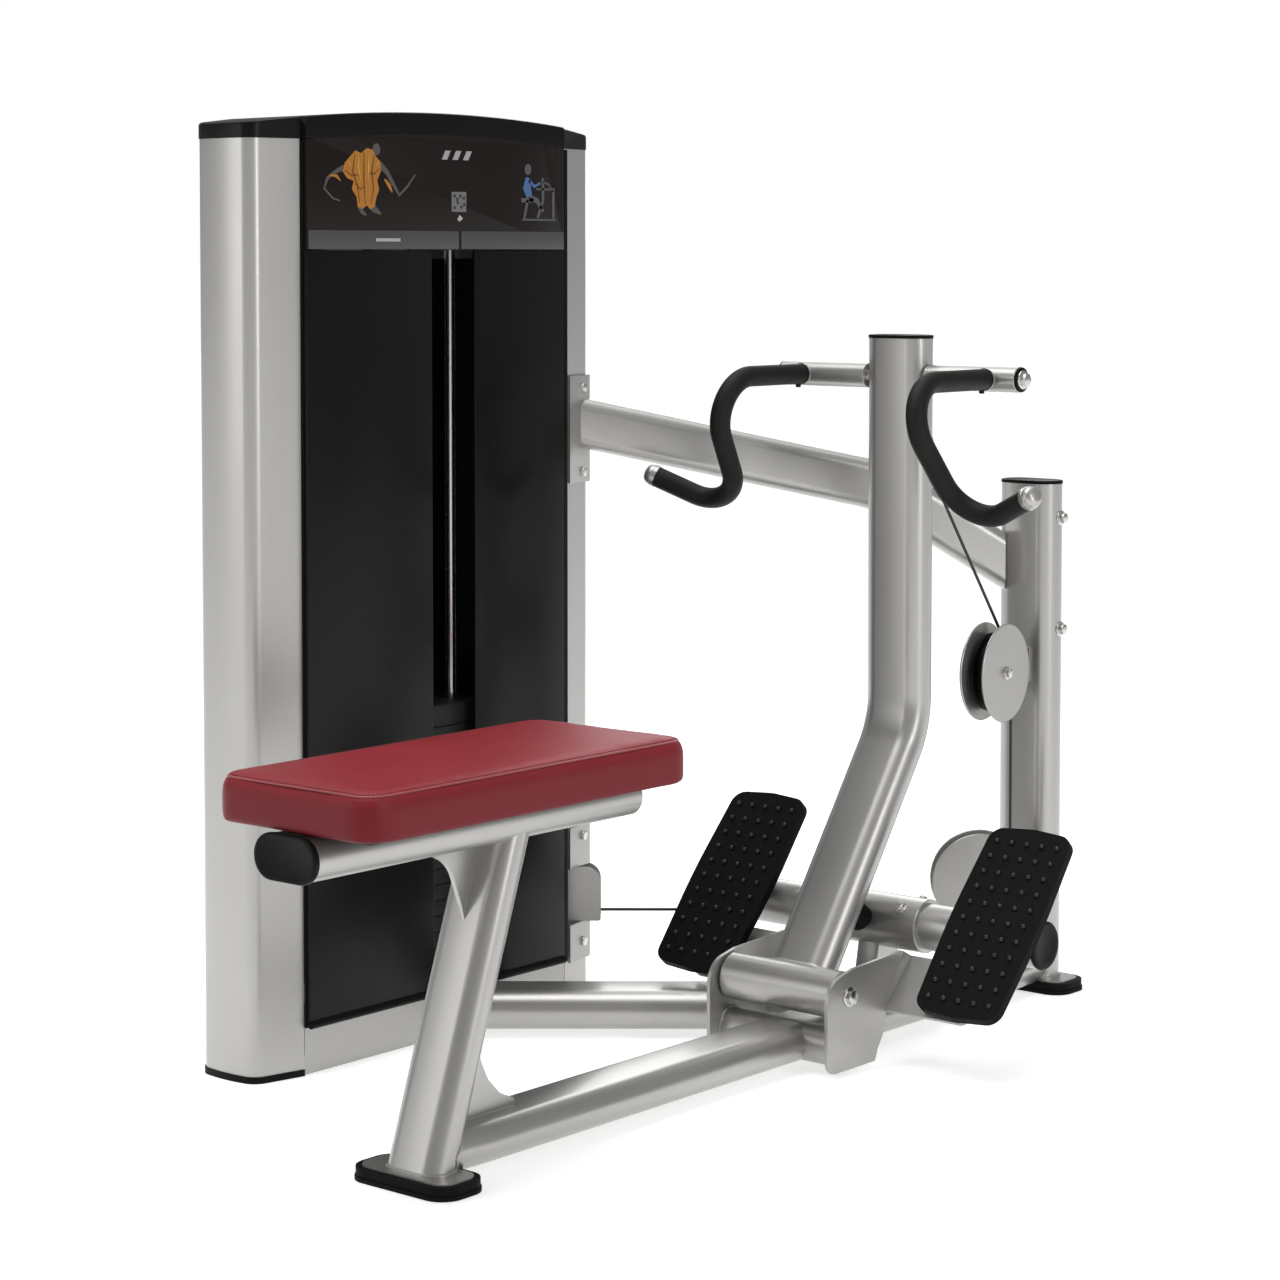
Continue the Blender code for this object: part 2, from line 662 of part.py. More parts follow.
def make_handle(side):
    """A handle: a sleeve that turns on the crossbar, its bent tube, and a rubber grip."""
    word = "left" if side > 0 else "right"
    pivot = empty("handle_pivot_" + word, CROSSBAR + Y_AXIS * side * HANDLE_Y, arm_pivot)
    sleeve = rod(CROSSBAR + Y_AXIS * SLEEVE_Y[0], CROSSBAR + Y_AXIS * SLEEVE_Y[1], SLEEVE_RADIUS, 24)
    path = handle_path()
    tube = sweep(path, circle(HANDLE_TUBE_RADIUS, 14))
    head = path[-1]
    outward = (path[-1] - path[-2]).normalized()
    flange = rod(head - outward * (GRIP_END - 0.001), head - outward * 0.003, GRIP_RADIUS + 0.0012, 20)
    dome = rod(head - outward * 0.0035, head + outward * 0.009, GRIP_RADIUS, 20, 0.0100)
    ferrule = weld(flange, dome)
    bore = rod(CROSSBAR, CROSSBAR + Y_AXIS * 0.3, 0.0112 + GAP, 20)
    tube = cut(weld(sleeve, tube, ferrule), bore)
    wrap = trimmed(path, GRIP_START, GRIP_END)
    grip = cut(sweep(wrap, circle(GRIP_RADIUS, 18)), sweep(trimmed(path, 0.010, 0.0),
                                                         circle(HANDLE_TUBE_RADIUS + GAP, 14)))
    if side < 0:
        tube, grip = mirror_and_remove(tube), mirror_and_remove(grip)
    place(tube, "handle_" + word, SILVER, pivot)
    place(grip, "grip_" + word, RUBBER, pivot)


def make_pivot_pin():
    outer = PLATE_INNER + PLATE_THICKNESS
    pin = rod((PIVOT.x, -outer - 0.004, PIVOT.z), (PIVOT.x, outer + 0.004, PIVOT.z), 0.0086, 20)
    for side in (1, -1):
        nut = rod((PIVOT.x, side * (outer + GAP), PIVOT.z), (PIVOT.x, side * (outer + 0.009), PIVOT.z),
                  0.0125, 6)
        pin = weld(pin, nut)
    place(pin, "pivot_pin", STEEL)


# ---- foot rests --------------------------------------------------------------------------------
def foot_plane():
    """Middle, up-slope direction, forward normal and length of the foot plates' front face."""
    slope = FOOT_PLATE_HIGH - FOOT_PLATE_LOW
    up = slope.normalized()
    normal = Vector((-up.z, 0, up.x))
    return (FOOT_PLATE_HIGH + FOOT_PLATE_LOW) / 2, up, normal, slope.length


def foot_board(side, thickness, depth, inset):
    """A rounded rectangle that lies on the foot plane, depth behind its front face."""
    middle, up, normal, length = foot_plane()
    low, high = FOOT_PLATE_Y
    half_width = (high - low) / 2 - inset
    half_length = length / 2 - inset
    bulge = 0.006
    corners = [(-half_width, -half_length + bulge), (0, -half_length), (half_width, -half_length + bulge),
               (half_width, half_length - bulge), (0, half_length), (-half_width, half_length - bulge)]
    outline = fillet([Vector((x, y, 0)) for x, y in corners], [0.024, 0.1, 0.024] * 2, 4)
    centre = middle + Y_AXIS * side * (low + high) / 2 - normal * depth
    return plate(outline, thickness, centre, Y_AXIS, up)


def make_foot_rests():
    half = FOOTREST_HALF - 0.006
    axis = FOOTREST_AXIS
    tube = rod(axis - Y_AXIS * half, axis + Y_AXIS * half, FOOTREST_RADIUS, 28)
    beam_top = BEAM_Z + BEAM_SECTION[1] / 2 + GAP
    foot = [(axis.x - 0.042, beam_top), (axis.x + 0.042, beam_top), (axis.x + 0.018, axis.z),
            (axis.x - 0.018, axis.z)]
    post = plate([Vector((x, z, 0)) for x, z in foot], 0.040, (0, 0, 0), X_AXIS, Z_AXIS)
    collar = rod(axis - Y_AXIS * 0.098, axis + Y_AXIS * 0.098, FOOTREST_RADIUS + 0.006, 28)
    tube = weld(tube, collar, post)
    middle, up, normal, length = foot_plane()
    for side in (1, -1):
        seat = middle + Y_AXIS * side * sum(FOOT_PLATE_Y) / 2
        back = seat - normal * (FOOT_PAD_THICKNESS + TRAY_THICKNESS + 2 * GAP)
        along = (axis - middle).dot(up)
        upper = [Vector((along - 0.030, -0.032, 0)), Vector((along + 0.030, -0.032, 0)),
                 Vector((along + 0.030, 0.032, 0)), Vector((along - 0.030, 0.032, 0))]
        stand = plate(upper, 0.026, back - normal * 0.013, up, Y_AXIS)
        tube = weld(tube, stand)
    place(tube, "footrest_tube", SILVER)
    for side, word in ((1, "left"), (-1, "right")):
        cap = rod(axis + Y_AXIS * side * (half + GAP), axis + Y_AXIS * side * FOOTREST_HALF,
                  FOOTREST_RADIUS + 0.001, 28)
        place(cap, "footrest_cap_" + word, BLACK)
        tray = foot_board(side, TRAY_THICKNESS, FOOT_PAD_THICKNESS + TRAY_THICKNESS / 2 + GAP, 0.006)
        place(tray, "foot_plate_" + word, GREY)
        pad = foot_board(side, FOOT_PAD_THICKNESS, FOOT_PAD_THICKNESS / 2, 0.0)
        place(pad, "foot_pad_" + word, RUBBER)
    bumper = rod((1.015, 0, 0.180), (0.9506, 0, 0.2259), 0.021, 20)
    bumper = cut(bumper, rod(axis - Y_AXIS * 0.2, axis + Y_AXIS * 0.2, FOOTREST_RADIUS + 0.006 + GAP, 28))
    place(bumper, "arm_bumper", RUBBER)


# ---- pulleys and their guards --------------------------------------------------------------------
def pulley_axis(yaw):
    """The axle direction of a pulley whose plane is turned by yaw from the rowing axis."""
    return Vector((-math.sin(yaw), math.cos(yaw), 0.0))


def pulley_plane(yaw):
    return Vector((math.cos(yaw), math.sin(yaw), 0.0))


def make_pulley(name, at, yaw, turn=CABLE_TURN):
    """A grooved pulley, turned, on its own empty."""
    hub, groove, rim = 0.0062, turn - CABLE_RADIUS - 0.0010, turn + PULLEY_LIP
    wide = PULLEY_HALF_WIDTH
    floor = CABLE_RADIUS + 0.0008
    profile = [(hub, wide), (0.016, wide), (0.018, wide - 0.003), (rim - 0.012, wide - 0.003),
               (rim - 0.009, wide - 0.001), (rim, wide - 0.002), (groove, floor), (groove, -floor),
               (rim, -wide + 0.002), (rim - 0.009, -wide + 0.001), (rim - 0.012, -wide + 0.003),
               (0.018, -wide + 0.003), (0.016, -wide), (hub, -wide)]
    pivot = empty(name + "_pivot", at, root)
    place(turned(profile, at, pulley_axis(yaw)), name, BLACK, pivot)


def guard_discs(at, yaw, radius=GUARD_RADIUS):
    """Two guard plates beside a pulley, tied together by its axle bolt."""
    axle = pulley_axis(yaw)
    inner, outer = GUARD_HALF_GAP, GUARD_HALF_GAP + GUARD_THICKNESS
    body = rod(at - axle * (outer + 0.006), at + axle * (outer + 0.006), 0.0058, 16)
    for side in (1, -1):
        disc = rod(at + axle * side * inner, at + axle * side * outer, radius, 40)
        head = rod(at + axle * side * (outer - 0.001), at + axle * side * (outer + 0.007), 0.0095, 6)
        body = weld(body, disc, head)
    return body


def make_cable_guides():
    make_pulley("upper_pulley", UPPER_PULLEY, UPPER_YAW, UPPER_TURN)
    make_pulley("lower_pulley", LOWER_PULLEY, LOWER_YAW)
    front = UPRIGHT_X - UPRIGHT_SECTION[1] / 2 - GAP
    outer = GUARD_HALF_GAP + GUARD_THICKNESS
    for name, at, yaw in (("upper_pulley_guard", UPPER_PULLEY, UPPER_YAW),
                          ("lower_pulley_guard", LOWER_PULLEY, LOWER_YAW)):
        guard = guard_discs(at, yaw)
        axle = pulley_axis(yaw)
        if yaw > 0:
            strap = block((front - 0.006, at.y - 0.024, at.z - 0.030), (front, at.y + 0.040, at.z + 0.030))
            for side in (1, -1):
                cheek = [Vector((0.030, -0.022, 0)), Vector((0.117, -0.022, 0)),
                         Vector((0.117, 0.022, 0)), Vector((0.030, 0.022, 0))]
                middle = at + axle * side * (GUARD_HALF_GAP + GUARD_THICKNESS / 2)
                guard = weld(guard, plate(cheek, GUARD_THICKNESS, middle, pulley_plane(yaw), Z_AXIS))
        else:
            strap = block((1.385, at.y - 0.050, at.z - 0.030), (front, at.y + 0.010, at.z + 0.030))
            strap = cut(strap, rod(at - axle * 0.1, at + axle * (GUARD_HALF_GAP + 0.0013), 0.090, 32))
        place(weld(guard, strap), name, GREY)


# ---- weight tower ----------------------------------------------------------------------------
def cover_outline(side, offset=0.0, ends=COVER_HALF):
    """The plan of a side cover, from its front inner edge round to its rear inner edge."""
    corners = [(ends, -0.0765 - offset), (0.3795 + offset, -0.0575 - offset), (0.3880 + offset, 0.0),
               (0.3795 + offset, 0.0575 + offset), (ends, 0.0765 + offset)]
    points = [Vector((TOWER_X + side * x, TOWER_Y + y, 0)) for x, y in corners]
    return fillet(points, [0.0, 0.026 + offset, 0.24, 0.026 + offset, 0.0], 5, closed=False)


def skin(outer, inner, low, high):
    """A wall between two open plan outlines, from one height to another."""
    outline = list(outer) + list(reversed(inner))
    return plate(outline, high - low, (0, 0, (low + high) / 2), X_AXIS, Y_AXIS)


def cable_slot():
    """The opening in the right cover for the tower pulley and its cable."""
    way = pulley_plane(LOWER_YAW)
    across = pulley_axis(LOWER_YAW)
    size = [Vector((-0.060, -0.0235, 0)), Vector((0.12, -0.0235, 0)), Vector((0.12, 0.0235, 0)),
            Vector((-0.060, 0.0235, 0))]
    return plate(size, 0.120, tower_pulley_centre(), way, across)


def make_covers():
    for side, word in ((-1, "left"), (1, "right")):
        cover = skin(cover_outline(side), cover_outline(side, -COVER_SKIN), COVER_BOTTOM, COVER_TOP)
        if side > 0:
            cover = cut(cover, cable_slot())
        place(cover, "side_cover_" + word, SILVER)


def arch(x_from, x_to, base, crown_drop=0.0):
    """The front outline of a piece under the cap's shallow arch."""
    points = [Vector((x_from, base, 0)), Vector((x_to, base, 0))]
    steps = 16
    for k in range(steps + 1):
        x = x_to + (x_from - x_to) * k / steps
        fall = CAP_RADIUS - math.sqrt(CAP_RADIUS ** 2 - (x - TOWER_X) ** 2)
        points.append(Vector((x, CAP_CROWN - crown_drop - fall, 0)))
    return points


def make_tower_top():
    outline = [*cover_outline(1, 0.001), *reversed(cover_outline(-1, 0.001))]
    front_left = Vector((FASCIA_X[0], FASCIA_Y, 0))
    front_right = Vector((FASCIA_X[1], FASCIA_Y, 0))
    outline = [front_left, front_right, *outline]
    plan = plate(outline, 0.060, (0, 0, COVER_TOP + GAP + 0.030), X_AXIS, Y_AXIS)
    form = plate(arch(TOWER_X - 0.41, TOWER_X + 0.41, COVER_TOP - 0.01), 0.40,
                 (0, TOWER_Y, 0), X_AXIS, Z_AXIS)
    cap = combine(plan, form, "INTERSECT")
    recess = plate(arch(FASCIA_X[0] - 0.001, FASCIA_X[1] + 0.001, 1.38, PLACARD_DROP - GAP), 0.0206,
                   (0, FASCIA_Y + 0.0002, 0), X_AXIS, Z_AXIS)
    place(cut(cap, recess), "top_cap", BLACK)
    placard = plate(arch(FASCIA_X[0], FASCIA_X[1], PLACARD_BASE, PLACARD_DROP), 0.010,
                    (0, FASCIA_Y + 0.005, 0), X_AXIS, Z_AXIS)
    place(placard, "placard", PLACARD)


def make_panels():
    for word, x_from, x_to in (("left", FASCIA_X[0], PANEL_GAP_X[0]),
                               ("right", PANEL_GAP_X[1], FASCIA_X[1])):
        panel = block((x_from, FASCIA_Y + 0.001, PANEL_Z[0] + 0.003), (x_to, FASCIA_Y + 0.007, PANEL_Z[1]))
        lip = rod((x_from, FASCIA_Y + 0.0015, PANEL_Z[0]), (x_to, FASCIA_Y + 0.0015, PANEL_Z[0]), 0.006, 16)
        place(weld(panel, lip), "front_panel_" + word, PANEL)
    back = block((TOWER_X - COVER_HALF + 0.001, TOWER_Y + 0.0775, 0.09),
                 (TOWER_X + COVER_HALF - 0.001, TOWER_Y + 0.0815, 1.400))
    place(back, "back_panel", PANEL)


def make_tower_frame():
    """The welded inner frame: base box, two posts and a top crossmember."""
    half = COVER_HALF - 0.001
    rear = TOWER_Y + 0.0765
    low = block((TOWER_X - half, RAIL_Y, 0.031), (TOWER_X + half, RAIL_Y + 0.004, 0.110))
    base = block((TOWER_X - half, RAIL_Y + 0.003, 0.0), (TOWER_X + half, rear, 0.032))
    rest = block((TOWER_X - 0.145, STACK.y - 0.045, 0.030), (TOWER_X + 0.145, STACK.y + 0.045, 0.0955))
    frame = weld(base, low, rest)
    for side in (-1, 1):
        x = TOWER_X + side * 0.266
        frame = weld(frame, block((x - 0.020, TOWER_Y + 0.036, 0.02), (x + 0.020, rear, 1.395)))
    for bottom, top, y_from in ((1.225, 1.2625, TOWER_Y + 0.038), (1.355, 1.394, TOWER_Y + 0.038)):
        frame = weld(frame, block((TOWER_X - 0.280, y_from, bottom), (TOWER_X + 0.280, rear - 0.001, top)))
    shelf = block((TOWER_X - 0.125, STACK.y - 0.026, 1.246), (TOWER_X + 0.125, TOWER_Y + 0.050, 1.2565))
    shelf = cut(shelf, rod((STACK.x, STACK.y, 1.2), (STACK.x, STACK.y, 1.3), 0.014, 20))
    head = block((TOWER_X - 0.040, STACK.y - 0.024, 1.384), (top_run_x() - 0.024, TOWER_Y + 0.060, 1.393))
    frame = weld(frame, shelf, head)
    half = PULLEY_HALF_WIDTH + 0.0015
    for x in (STACK.x + CABLE_TURN, top_run_x() - CABLE_TURN):
        for side in (-1, 1):
            y = STACK.y + side * (half + 0.002)
            cheek = block((x - 0.020, y - 0.002, TOP_PULLEY_Z - 0.020), (x + 0.020, y + 0.002, 1.386))
            frame = weld(frame, cheek)
        axle = rod((x, STACK.y - half - 0.003, TOP_PULLEY_Z), (x, STACK.y + half + 0.003, TOP_PULLEY_Z),
                   0.0056, 16)
        frame = weld(frame, axle)
    for side in (-1, 1):
        x = STACK.x + side * ROD_SPACING
        frame = cut(frame, rod((x, STACK.y, 0.05), (x, STACK.y, ROD_TOP), ROD_RADIUS + GAP, 20))
    place(frame, "tower_frame", SILVER)
    for side, word in ((-1, "left"), (1, "right")):
        x = STACK.x + side * ROD_SPACING
        place(rod((x, STACK.y, 0.0505), (x, STACK.y, ROD_TOP - GAP), ROD_RADIUS, 20),
              "guide_rod_" + word, STEEL)


def tower_pulley_centre():
    drop = Z_AXIS * (CABLE_TURN - TOWER_TURN)
    return LOWER_PULLEY - pulley_plane(LOWER_YAW) * TOWER_PULLEY_RUN - drop


def top_run_x():
    """Where the cable climbs inside the tower."""
    return (tower_pulley_centre() - pulley_plane(LOWER_YAW) * TOWER_TURN).x


def corner_plate(low, high, reach):
    """A bracket plate that wraps round the tower's front right corner."""
    outer = cover_outline(1, 0.0062, BRACKET_INNER)[:reach]
    inner = cover_outline(1, 0.0012, BRACKET_INNER)[:reach]
    return skin(outer, inner, low, high)


def tower_space():
    """The room inside the corner plates, for cutting the tubes that end on them."""
    return plate(cover_outline(1, 0.0012), 1.6, (0, 0, 0.8), X_AXIS, Y_AXIS)


def make_brackets():
    corners = upper_link_corners()
    link = oval_tube(corners, UPPER_LINK_SECTION, link_axis(corners), 0.25, 8)
    end = [Vector((1.4645, 0.0475, 0)), Vector((1.1580, -0.2097, 0)), Vector((1.4150, -0.5160, 0)),
           Vector((1.7210, -0.2590, 0))]
    mitre = plate(end, 2.0, (0, 0, 0.8), X_AXIS, Y_AXIS)
    link = largest(cut(link, upright_solid(0.3, UPRIGHT_TOP, GAP), tower_space(), mitre))
    link = weld(link, corner_plate(0.858, 1.034, 9))
    for height in (0.875, 1.013):
        at = Vector((0.924, 0.5170, height))
        link = weld(link, rod(at, at + Vector((0.0022, -0.0105, 0)), 0.0085, 6))
    place(link, "upper_link", SILVER)

    centre = tower_pulley_centre()
    way = pulley_plane(LOWER_YAW)
    axle = pulley_axis(LOWER_YAW)
    fork = rod(centre - axle * 0.0205, centre + axle * 0.0205, 0.0058, 16)
    hood = [Vector((-0.030, -0.0506, 0)), Vector((0.0560, -0.0506, 0)), Vector((0.0560, 0.0394, 0)),
            Vector((-0.030, 0.0394, 0))]
    for side in (-1, 1):
        middle = centre + axle * side * (GUARD_HALF_GAP + GUARD_THICKNESS / 2)
        cheek = plate(fillet(hood, [0.004, 0.004, 0.027, 0.020], 5), GUARD_THICKNESS, middle, way, Z_AXIS)
        fork = weld(fork, cheek)
    fork = weld(fork, cut(corner_plate(0.066, 0.290, 9), cable_gate()))
    for height in (0.095, 0.272):
        at = Vector((0.924, 0.5170, height))
        fork = weld(fork, rod(at, at + Vector((0.0022, -0.0105, 0)), 0.0085, 6))
    place(fork, "tower_pulley_bracket", GREY)
    make_pulley("tower_pulley", centre, LOWER_YAW, TOWER_TURN)
    make_pulley("top_pulley_inner", Vector((STACK.x + CABLE_TURN, STACK.y, TOP_PULLEY_Z)), 0.0)
    make_pulley("top_pulley_outer", Vector((top_run_x() - CABLE_TURN, STACK.y, TOP_PULLEY_Z)), 0.0)


def cable_gate():
    """The opening in the lower bracket for the pulley between its two cheeks."""
    half = GUARD_HALF_GAP + 0.0013
    size = [Vector((-0.060, -half, 0)), Vector((0.12, -half, 0)), Vector((0.12, half, 0)),
            Vector((-0.060, half, 0))]
    return plate(size, 0.100, tower_pulley_centre(), pulley_plane(LOWER_YAW), pulley_axis(LOWER_YAW))


# ---- weight stack ------------------------------------------------------------------------------
stack_lift = empty("stack_lift", STACK, root)
pin_pull = empty("pin_pull", STACK, stack_lift)


def weight(level, count=1):
    """One weight plate, or several joined, with the holes for the rods and the stem."""
    wide, deep, thick = WEIGHT_SIZE
    low = WEIGHT_BASE + level * WEIGHT_PITCH
    body = None
    for k in range(count):
        z = low + k * WEIGHT_PITCH
        piece = block((STACK.x - wide / 2, STACK.y - deep / 2, z),
                      (STACK.x + wide / 2, STACK.y + deep / 2, z + thick), 0.0018)
        if body is None:
            body = piece
            continue
        core = block((STACK.x - wide / 2 + 0.012, STACK.y - deep / 2 + 0.012, z - 0.004),
                     (STACK.x + wide / 2 - 0.012, STACK.y + deep / 2 - 0.012, z + 0.004))
        body = weld(body, core, piece)
    top = low + count * WEIGHT_PITCH
    for x, radius in ((STACK.x - ROD_SPACING, ROD_RADIUS + 0.0015), (STACK.x, 0.0120),
                      (STACK.x + ROD_SPACING, ROD_RADIUS + 0.0015)):
        body = cut(body, rod((x, STACK.y, low - 0.02), (x, STACK.y, top + 0.02), radius, 20))
    return body


def pin_height():
    return WEIGHT_BASE + RESTING_PLATES * WEIGHT_PITCH + WEIGHT_SIZE[2] / 2


def pin_hole():
    return rod((STACK.x, STACK.y - 0.1, pin_height()), (STACK.x, STACK.y + 0.012, pin_height()),
               0.0056, 16)


def make_stack():
    place(weight(0, RESTING_PLATES), "resting_weights", IRON)
    for k in range(LIFTED_PLATES):
        piece = weight(RESTING_PLATES + k)
        if k == 0:
            piece = cut(piece, pin_hole())
        place(piece, f"lifted_weight_{k + 1}", IRON, stack_lift)
    head_low = WEIGHT_BASE + (RESTING_PLATES + LIFTED_PLATES) * WEIGHT_PITCH
    wide, deep, _ = WEIGHT_SIZE
    head = block((STACK.x - wide / 2, STACK.y - deep / 2, head_low),
                 (STACK.x + wide / 2, STACK.y + deep / 2, head_low + 0.034), 0.003)
    for x in (STACK.x - ROD_SPACING, STACK.x + ROD_SPACING):
        head = cut(head, rod((x, STACK.y, 0.3), (x, STACK.y, 0.8), ROD_RADIUS + 0.0008, 20))
    bore = rod((STACK.x, STACK.y, 0.3), (STACK.x, STACK.y, 0.8), 0.0100 + GAP, 20)
    place(cut(head, bore), "head_plate", IRON, stack_lift)
    stem = rod((STACK.x, STACK.y, WEIGHT_BASE + 0.010), (STACK.x, STACK.y, stem_top()), 0.0100, 20)
    place(cut(stem, pin_hole()), "selector_stem", STEEL, stack_lift)
    pin = rod((STACK.x, STACK.y - 0.062, pin_height()), (STACK.x, STACK.y + 0.0105, pin_height()),
              0.0050, 16)
    knob = rod((STACK.x, STACK.y - 0.070, pin_height()), (STACK.x, STACK.y - 0.0485, pin_height()),
               0.0110, 20)
    place(weld(pin, knob), "selector_pin", STEEL, pin_pull)


def stem_top():
    return WEIGHT_BASE + (RESTING_PLATES + LIFTED_PLATES) * WEIGHT_PITCH + 0.070


# ---- cable -----------------------------------------------------------------------------------
def arc(centre, across, start, end, radius=CABLE_TURN, steps=8):
    """Points round a pulley; angles run from the in-plane direction towards +Z."""
    points = []
    for k in range(steps + 1):
        angle = math.radians(start + (end - start) * k / steps)
        points.append(centre + across * radius * math.cos(angle) + Z_AXIS * radius * math.sin(angle))
    return points


def anchor_tangent():
    """The angle on the upper pulley where the cable from the arm meets it."""
    across = pulley_plane(UPPER_YAW)
    offset = ANCHOR - UPPER_PULLEY
    flat, rise = offset.dot(across), offset.z
    distance = math.hypot(flat, rise)
    return math.degrees(math.atan2(rise, flat)) - math.degrees(math.acos(UPPER_TURN / distance))


def make_cable():
    section = circle(CABLE_RADIUS, 8)
    upper, lower = pulley_plane(UPPER_YAW), pulley_plane(LOWER_YAW)
    meet = anchor_tangent()
    first = arc(UPPER_PULLEY, upper, meet, meet, UPPER_TURN, 1)[0]
    slack = (ANCHOR - first).normalized()
    run = sweep([ANCHOR - slack * 0.0150, first + slack * GAP], section)
    place(run, "cable_arm_run", BLACK)

    tower, climb = tower_pulley_centre(), top_run_x()
    way = -lower
    outer = Vector((climb - CABLE_TURN, STACK.y, TOP_PULLEY_Z))
    inner = Vector((STACK.x + CABLE_TURN, STACK.y, TOP_PULLEY_Z))
    route = [*arc(UPPER_PULLEY, upper, meet, 0.0, UPPER_TURN),
             *arc(LOWER_PULLEY, lower, 0.0, -90.0),
             *arc(tower, way, -90.0, 0.0, TOWER_TURN),
             *arc(outer, X_AXIS, 0.0, 90.0),
             *arc(inner, X_AXIS, 90.0, 180.0)]
    place(sweep(route, section), "cable_guided_run", BLACK)
    top = inner - X_AXIS * CABLE_TURN - Z_AXIS * GAP
    place(sweep([top, Vector((STACK.x, STACK.y, stem_top() + GAP))], section), "cable_stack_run", BLACK)


make_seat()
make_floor_frame()
make_arm()
make_handle(1)
make_handle(-1)
make_pivot_pin()
make_foot_rests()
make_cable_guides()
make_covers()
make_tower_top()
make_panels()
make_tower_frame()
make_brackets()
make_stack()
make_cable()
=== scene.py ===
import json
import math

import bmesh
import bpy
from mathutils import Matrix, Vector
from mathutils.bvhtree import BVHTree

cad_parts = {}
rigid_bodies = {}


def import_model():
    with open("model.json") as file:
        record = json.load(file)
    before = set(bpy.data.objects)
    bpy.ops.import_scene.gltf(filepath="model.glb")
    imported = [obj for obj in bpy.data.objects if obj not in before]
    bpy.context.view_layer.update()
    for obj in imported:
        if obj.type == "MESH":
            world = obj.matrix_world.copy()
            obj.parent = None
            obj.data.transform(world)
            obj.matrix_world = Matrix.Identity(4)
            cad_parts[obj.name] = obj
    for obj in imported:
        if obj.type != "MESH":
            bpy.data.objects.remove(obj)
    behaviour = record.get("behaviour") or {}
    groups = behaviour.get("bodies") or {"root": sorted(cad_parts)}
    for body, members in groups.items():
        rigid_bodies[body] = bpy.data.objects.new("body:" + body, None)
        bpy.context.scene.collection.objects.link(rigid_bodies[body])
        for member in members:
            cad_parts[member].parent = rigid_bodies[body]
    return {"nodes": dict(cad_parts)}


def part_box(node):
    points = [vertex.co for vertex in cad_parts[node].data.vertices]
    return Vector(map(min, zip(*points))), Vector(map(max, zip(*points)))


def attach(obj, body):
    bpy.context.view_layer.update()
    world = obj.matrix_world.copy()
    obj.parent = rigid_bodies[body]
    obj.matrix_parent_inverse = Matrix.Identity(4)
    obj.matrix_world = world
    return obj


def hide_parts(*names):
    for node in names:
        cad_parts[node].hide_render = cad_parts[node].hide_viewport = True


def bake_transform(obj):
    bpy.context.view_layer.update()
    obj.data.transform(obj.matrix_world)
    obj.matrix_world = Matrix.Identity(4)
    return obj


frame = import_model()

# ==== Rubber feet ==============================================================================
# Two moulded black rubber shoes under the front post and the rear upright. Each is a racetrack
# tray that a steel sole plate is pressed into, so only a rounded rim shows round the plate.
X_AXIS, Y_AXIS, Z_AXIS = Vector((1, 0, 0)), Vector((0, 1, 0)), Vector((0, 0, 1))
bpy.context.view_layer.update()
shoe_low, shoe_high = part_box("front_foot")
SEAT_FOOT = Vector(((shoe_low.x + shoe_high.x) / 2, (shoe_low.y + shoe_high.y) / 2, 0.0))
FOOT_HALF_LENGTH, FOOT_HALF_WIDTH, FOOT_CORNER, FOOT_HEIGHT = 0.092, 0.046, 0.033, 0.018
UPRIGHT_X = 1.483


def at(x, y, z):
    """A place measured from the seat's foot: along the beam, towards the tower, up."""
    return SEAT_FOOT + Vector((x, y, z))


class Wire:
    """One output in a material; arithmetic on it adds the nodes that do that arithmetic."""

    def __init__(self, finish, socket):
        self.finish, self.socket = finish, socket

    def maths(self, operation, first, second=0.0):
        return self.finish.node("ShaderNodeMath", {"operation": operation}, {0: first, 1: second})

    def __add__(self, other):
        return self.maths("ADD", self, other)

    def __radd__(self, other):
        return self.maths("ADD", other, self)

    def __mul__(self, other):
        return self.maths("MULTIPLY", self, other)


class Finish:
    """A surface finish: one Principled material for a slot, with its pattern fixed to the piece."""

    def __init__(self, name, slot=None, **sockets):
        self.slot = slot or name
        self.material = bpy.data.materials.new(name)
        self.material.use_nodes = True
        self.tree = self.material.node_tree
        self.shader = self.tree.nodes["Principled BSDF"]
        self.set(**sockets)

    def set(self, **sockets):
        for label, value in sockets.items():
            self.feed(self.shader.inputs[label.replace("_", " ")], value)

    def feed(self, socket, value):
        if isinstance(value, Wire):
            self.tree.links.new(value.socket, socket)
        elif socket.type == "RGBA" and len(value) == 3:
            socket.default_value = (*value, 1.0)
        else:
            socket.default_value = value

    def node(self, kind, settings=None, sockets=None, output=0):
        made = self.tree.nodes.new(kind)
        for label, value in (settings or {}).items():
            setattr(made, label, value)
        for label, value in (sockets or {}).items():
            self.feed(made.inputs[label], value)
        return Wire(self, made.outputs[output])

    def place(self, scale=(1, 1, 1)):
        """Where a point is on the piece, in metres, stretched by scale."""
        here = self.node("ShaderNodeTexCoord", output=3)
        return self.node("ShaderNodeMapping", {}, {"Vector": here, "Scale": scale})

    def noise(self, scale, detail=2.0, stretch=(1, 1, 1)):
        return self.node("ShaderNodeTexNoise", {},
                         {"Vector": self.place(stretch), "Scale": scale, "Detail": detail})

    def between(self, share, first, second):
        return self.node("ShaderNodeMix", {"data_type": "RGBA"}, {0: share, 6: first, 7: second}, 2)

    def bumps(self, height, depth, strength=1.0):
        return self.node("ShaderNodeBump", {},
                         {"Height": height, "Distance": depth, "Strength": strength})


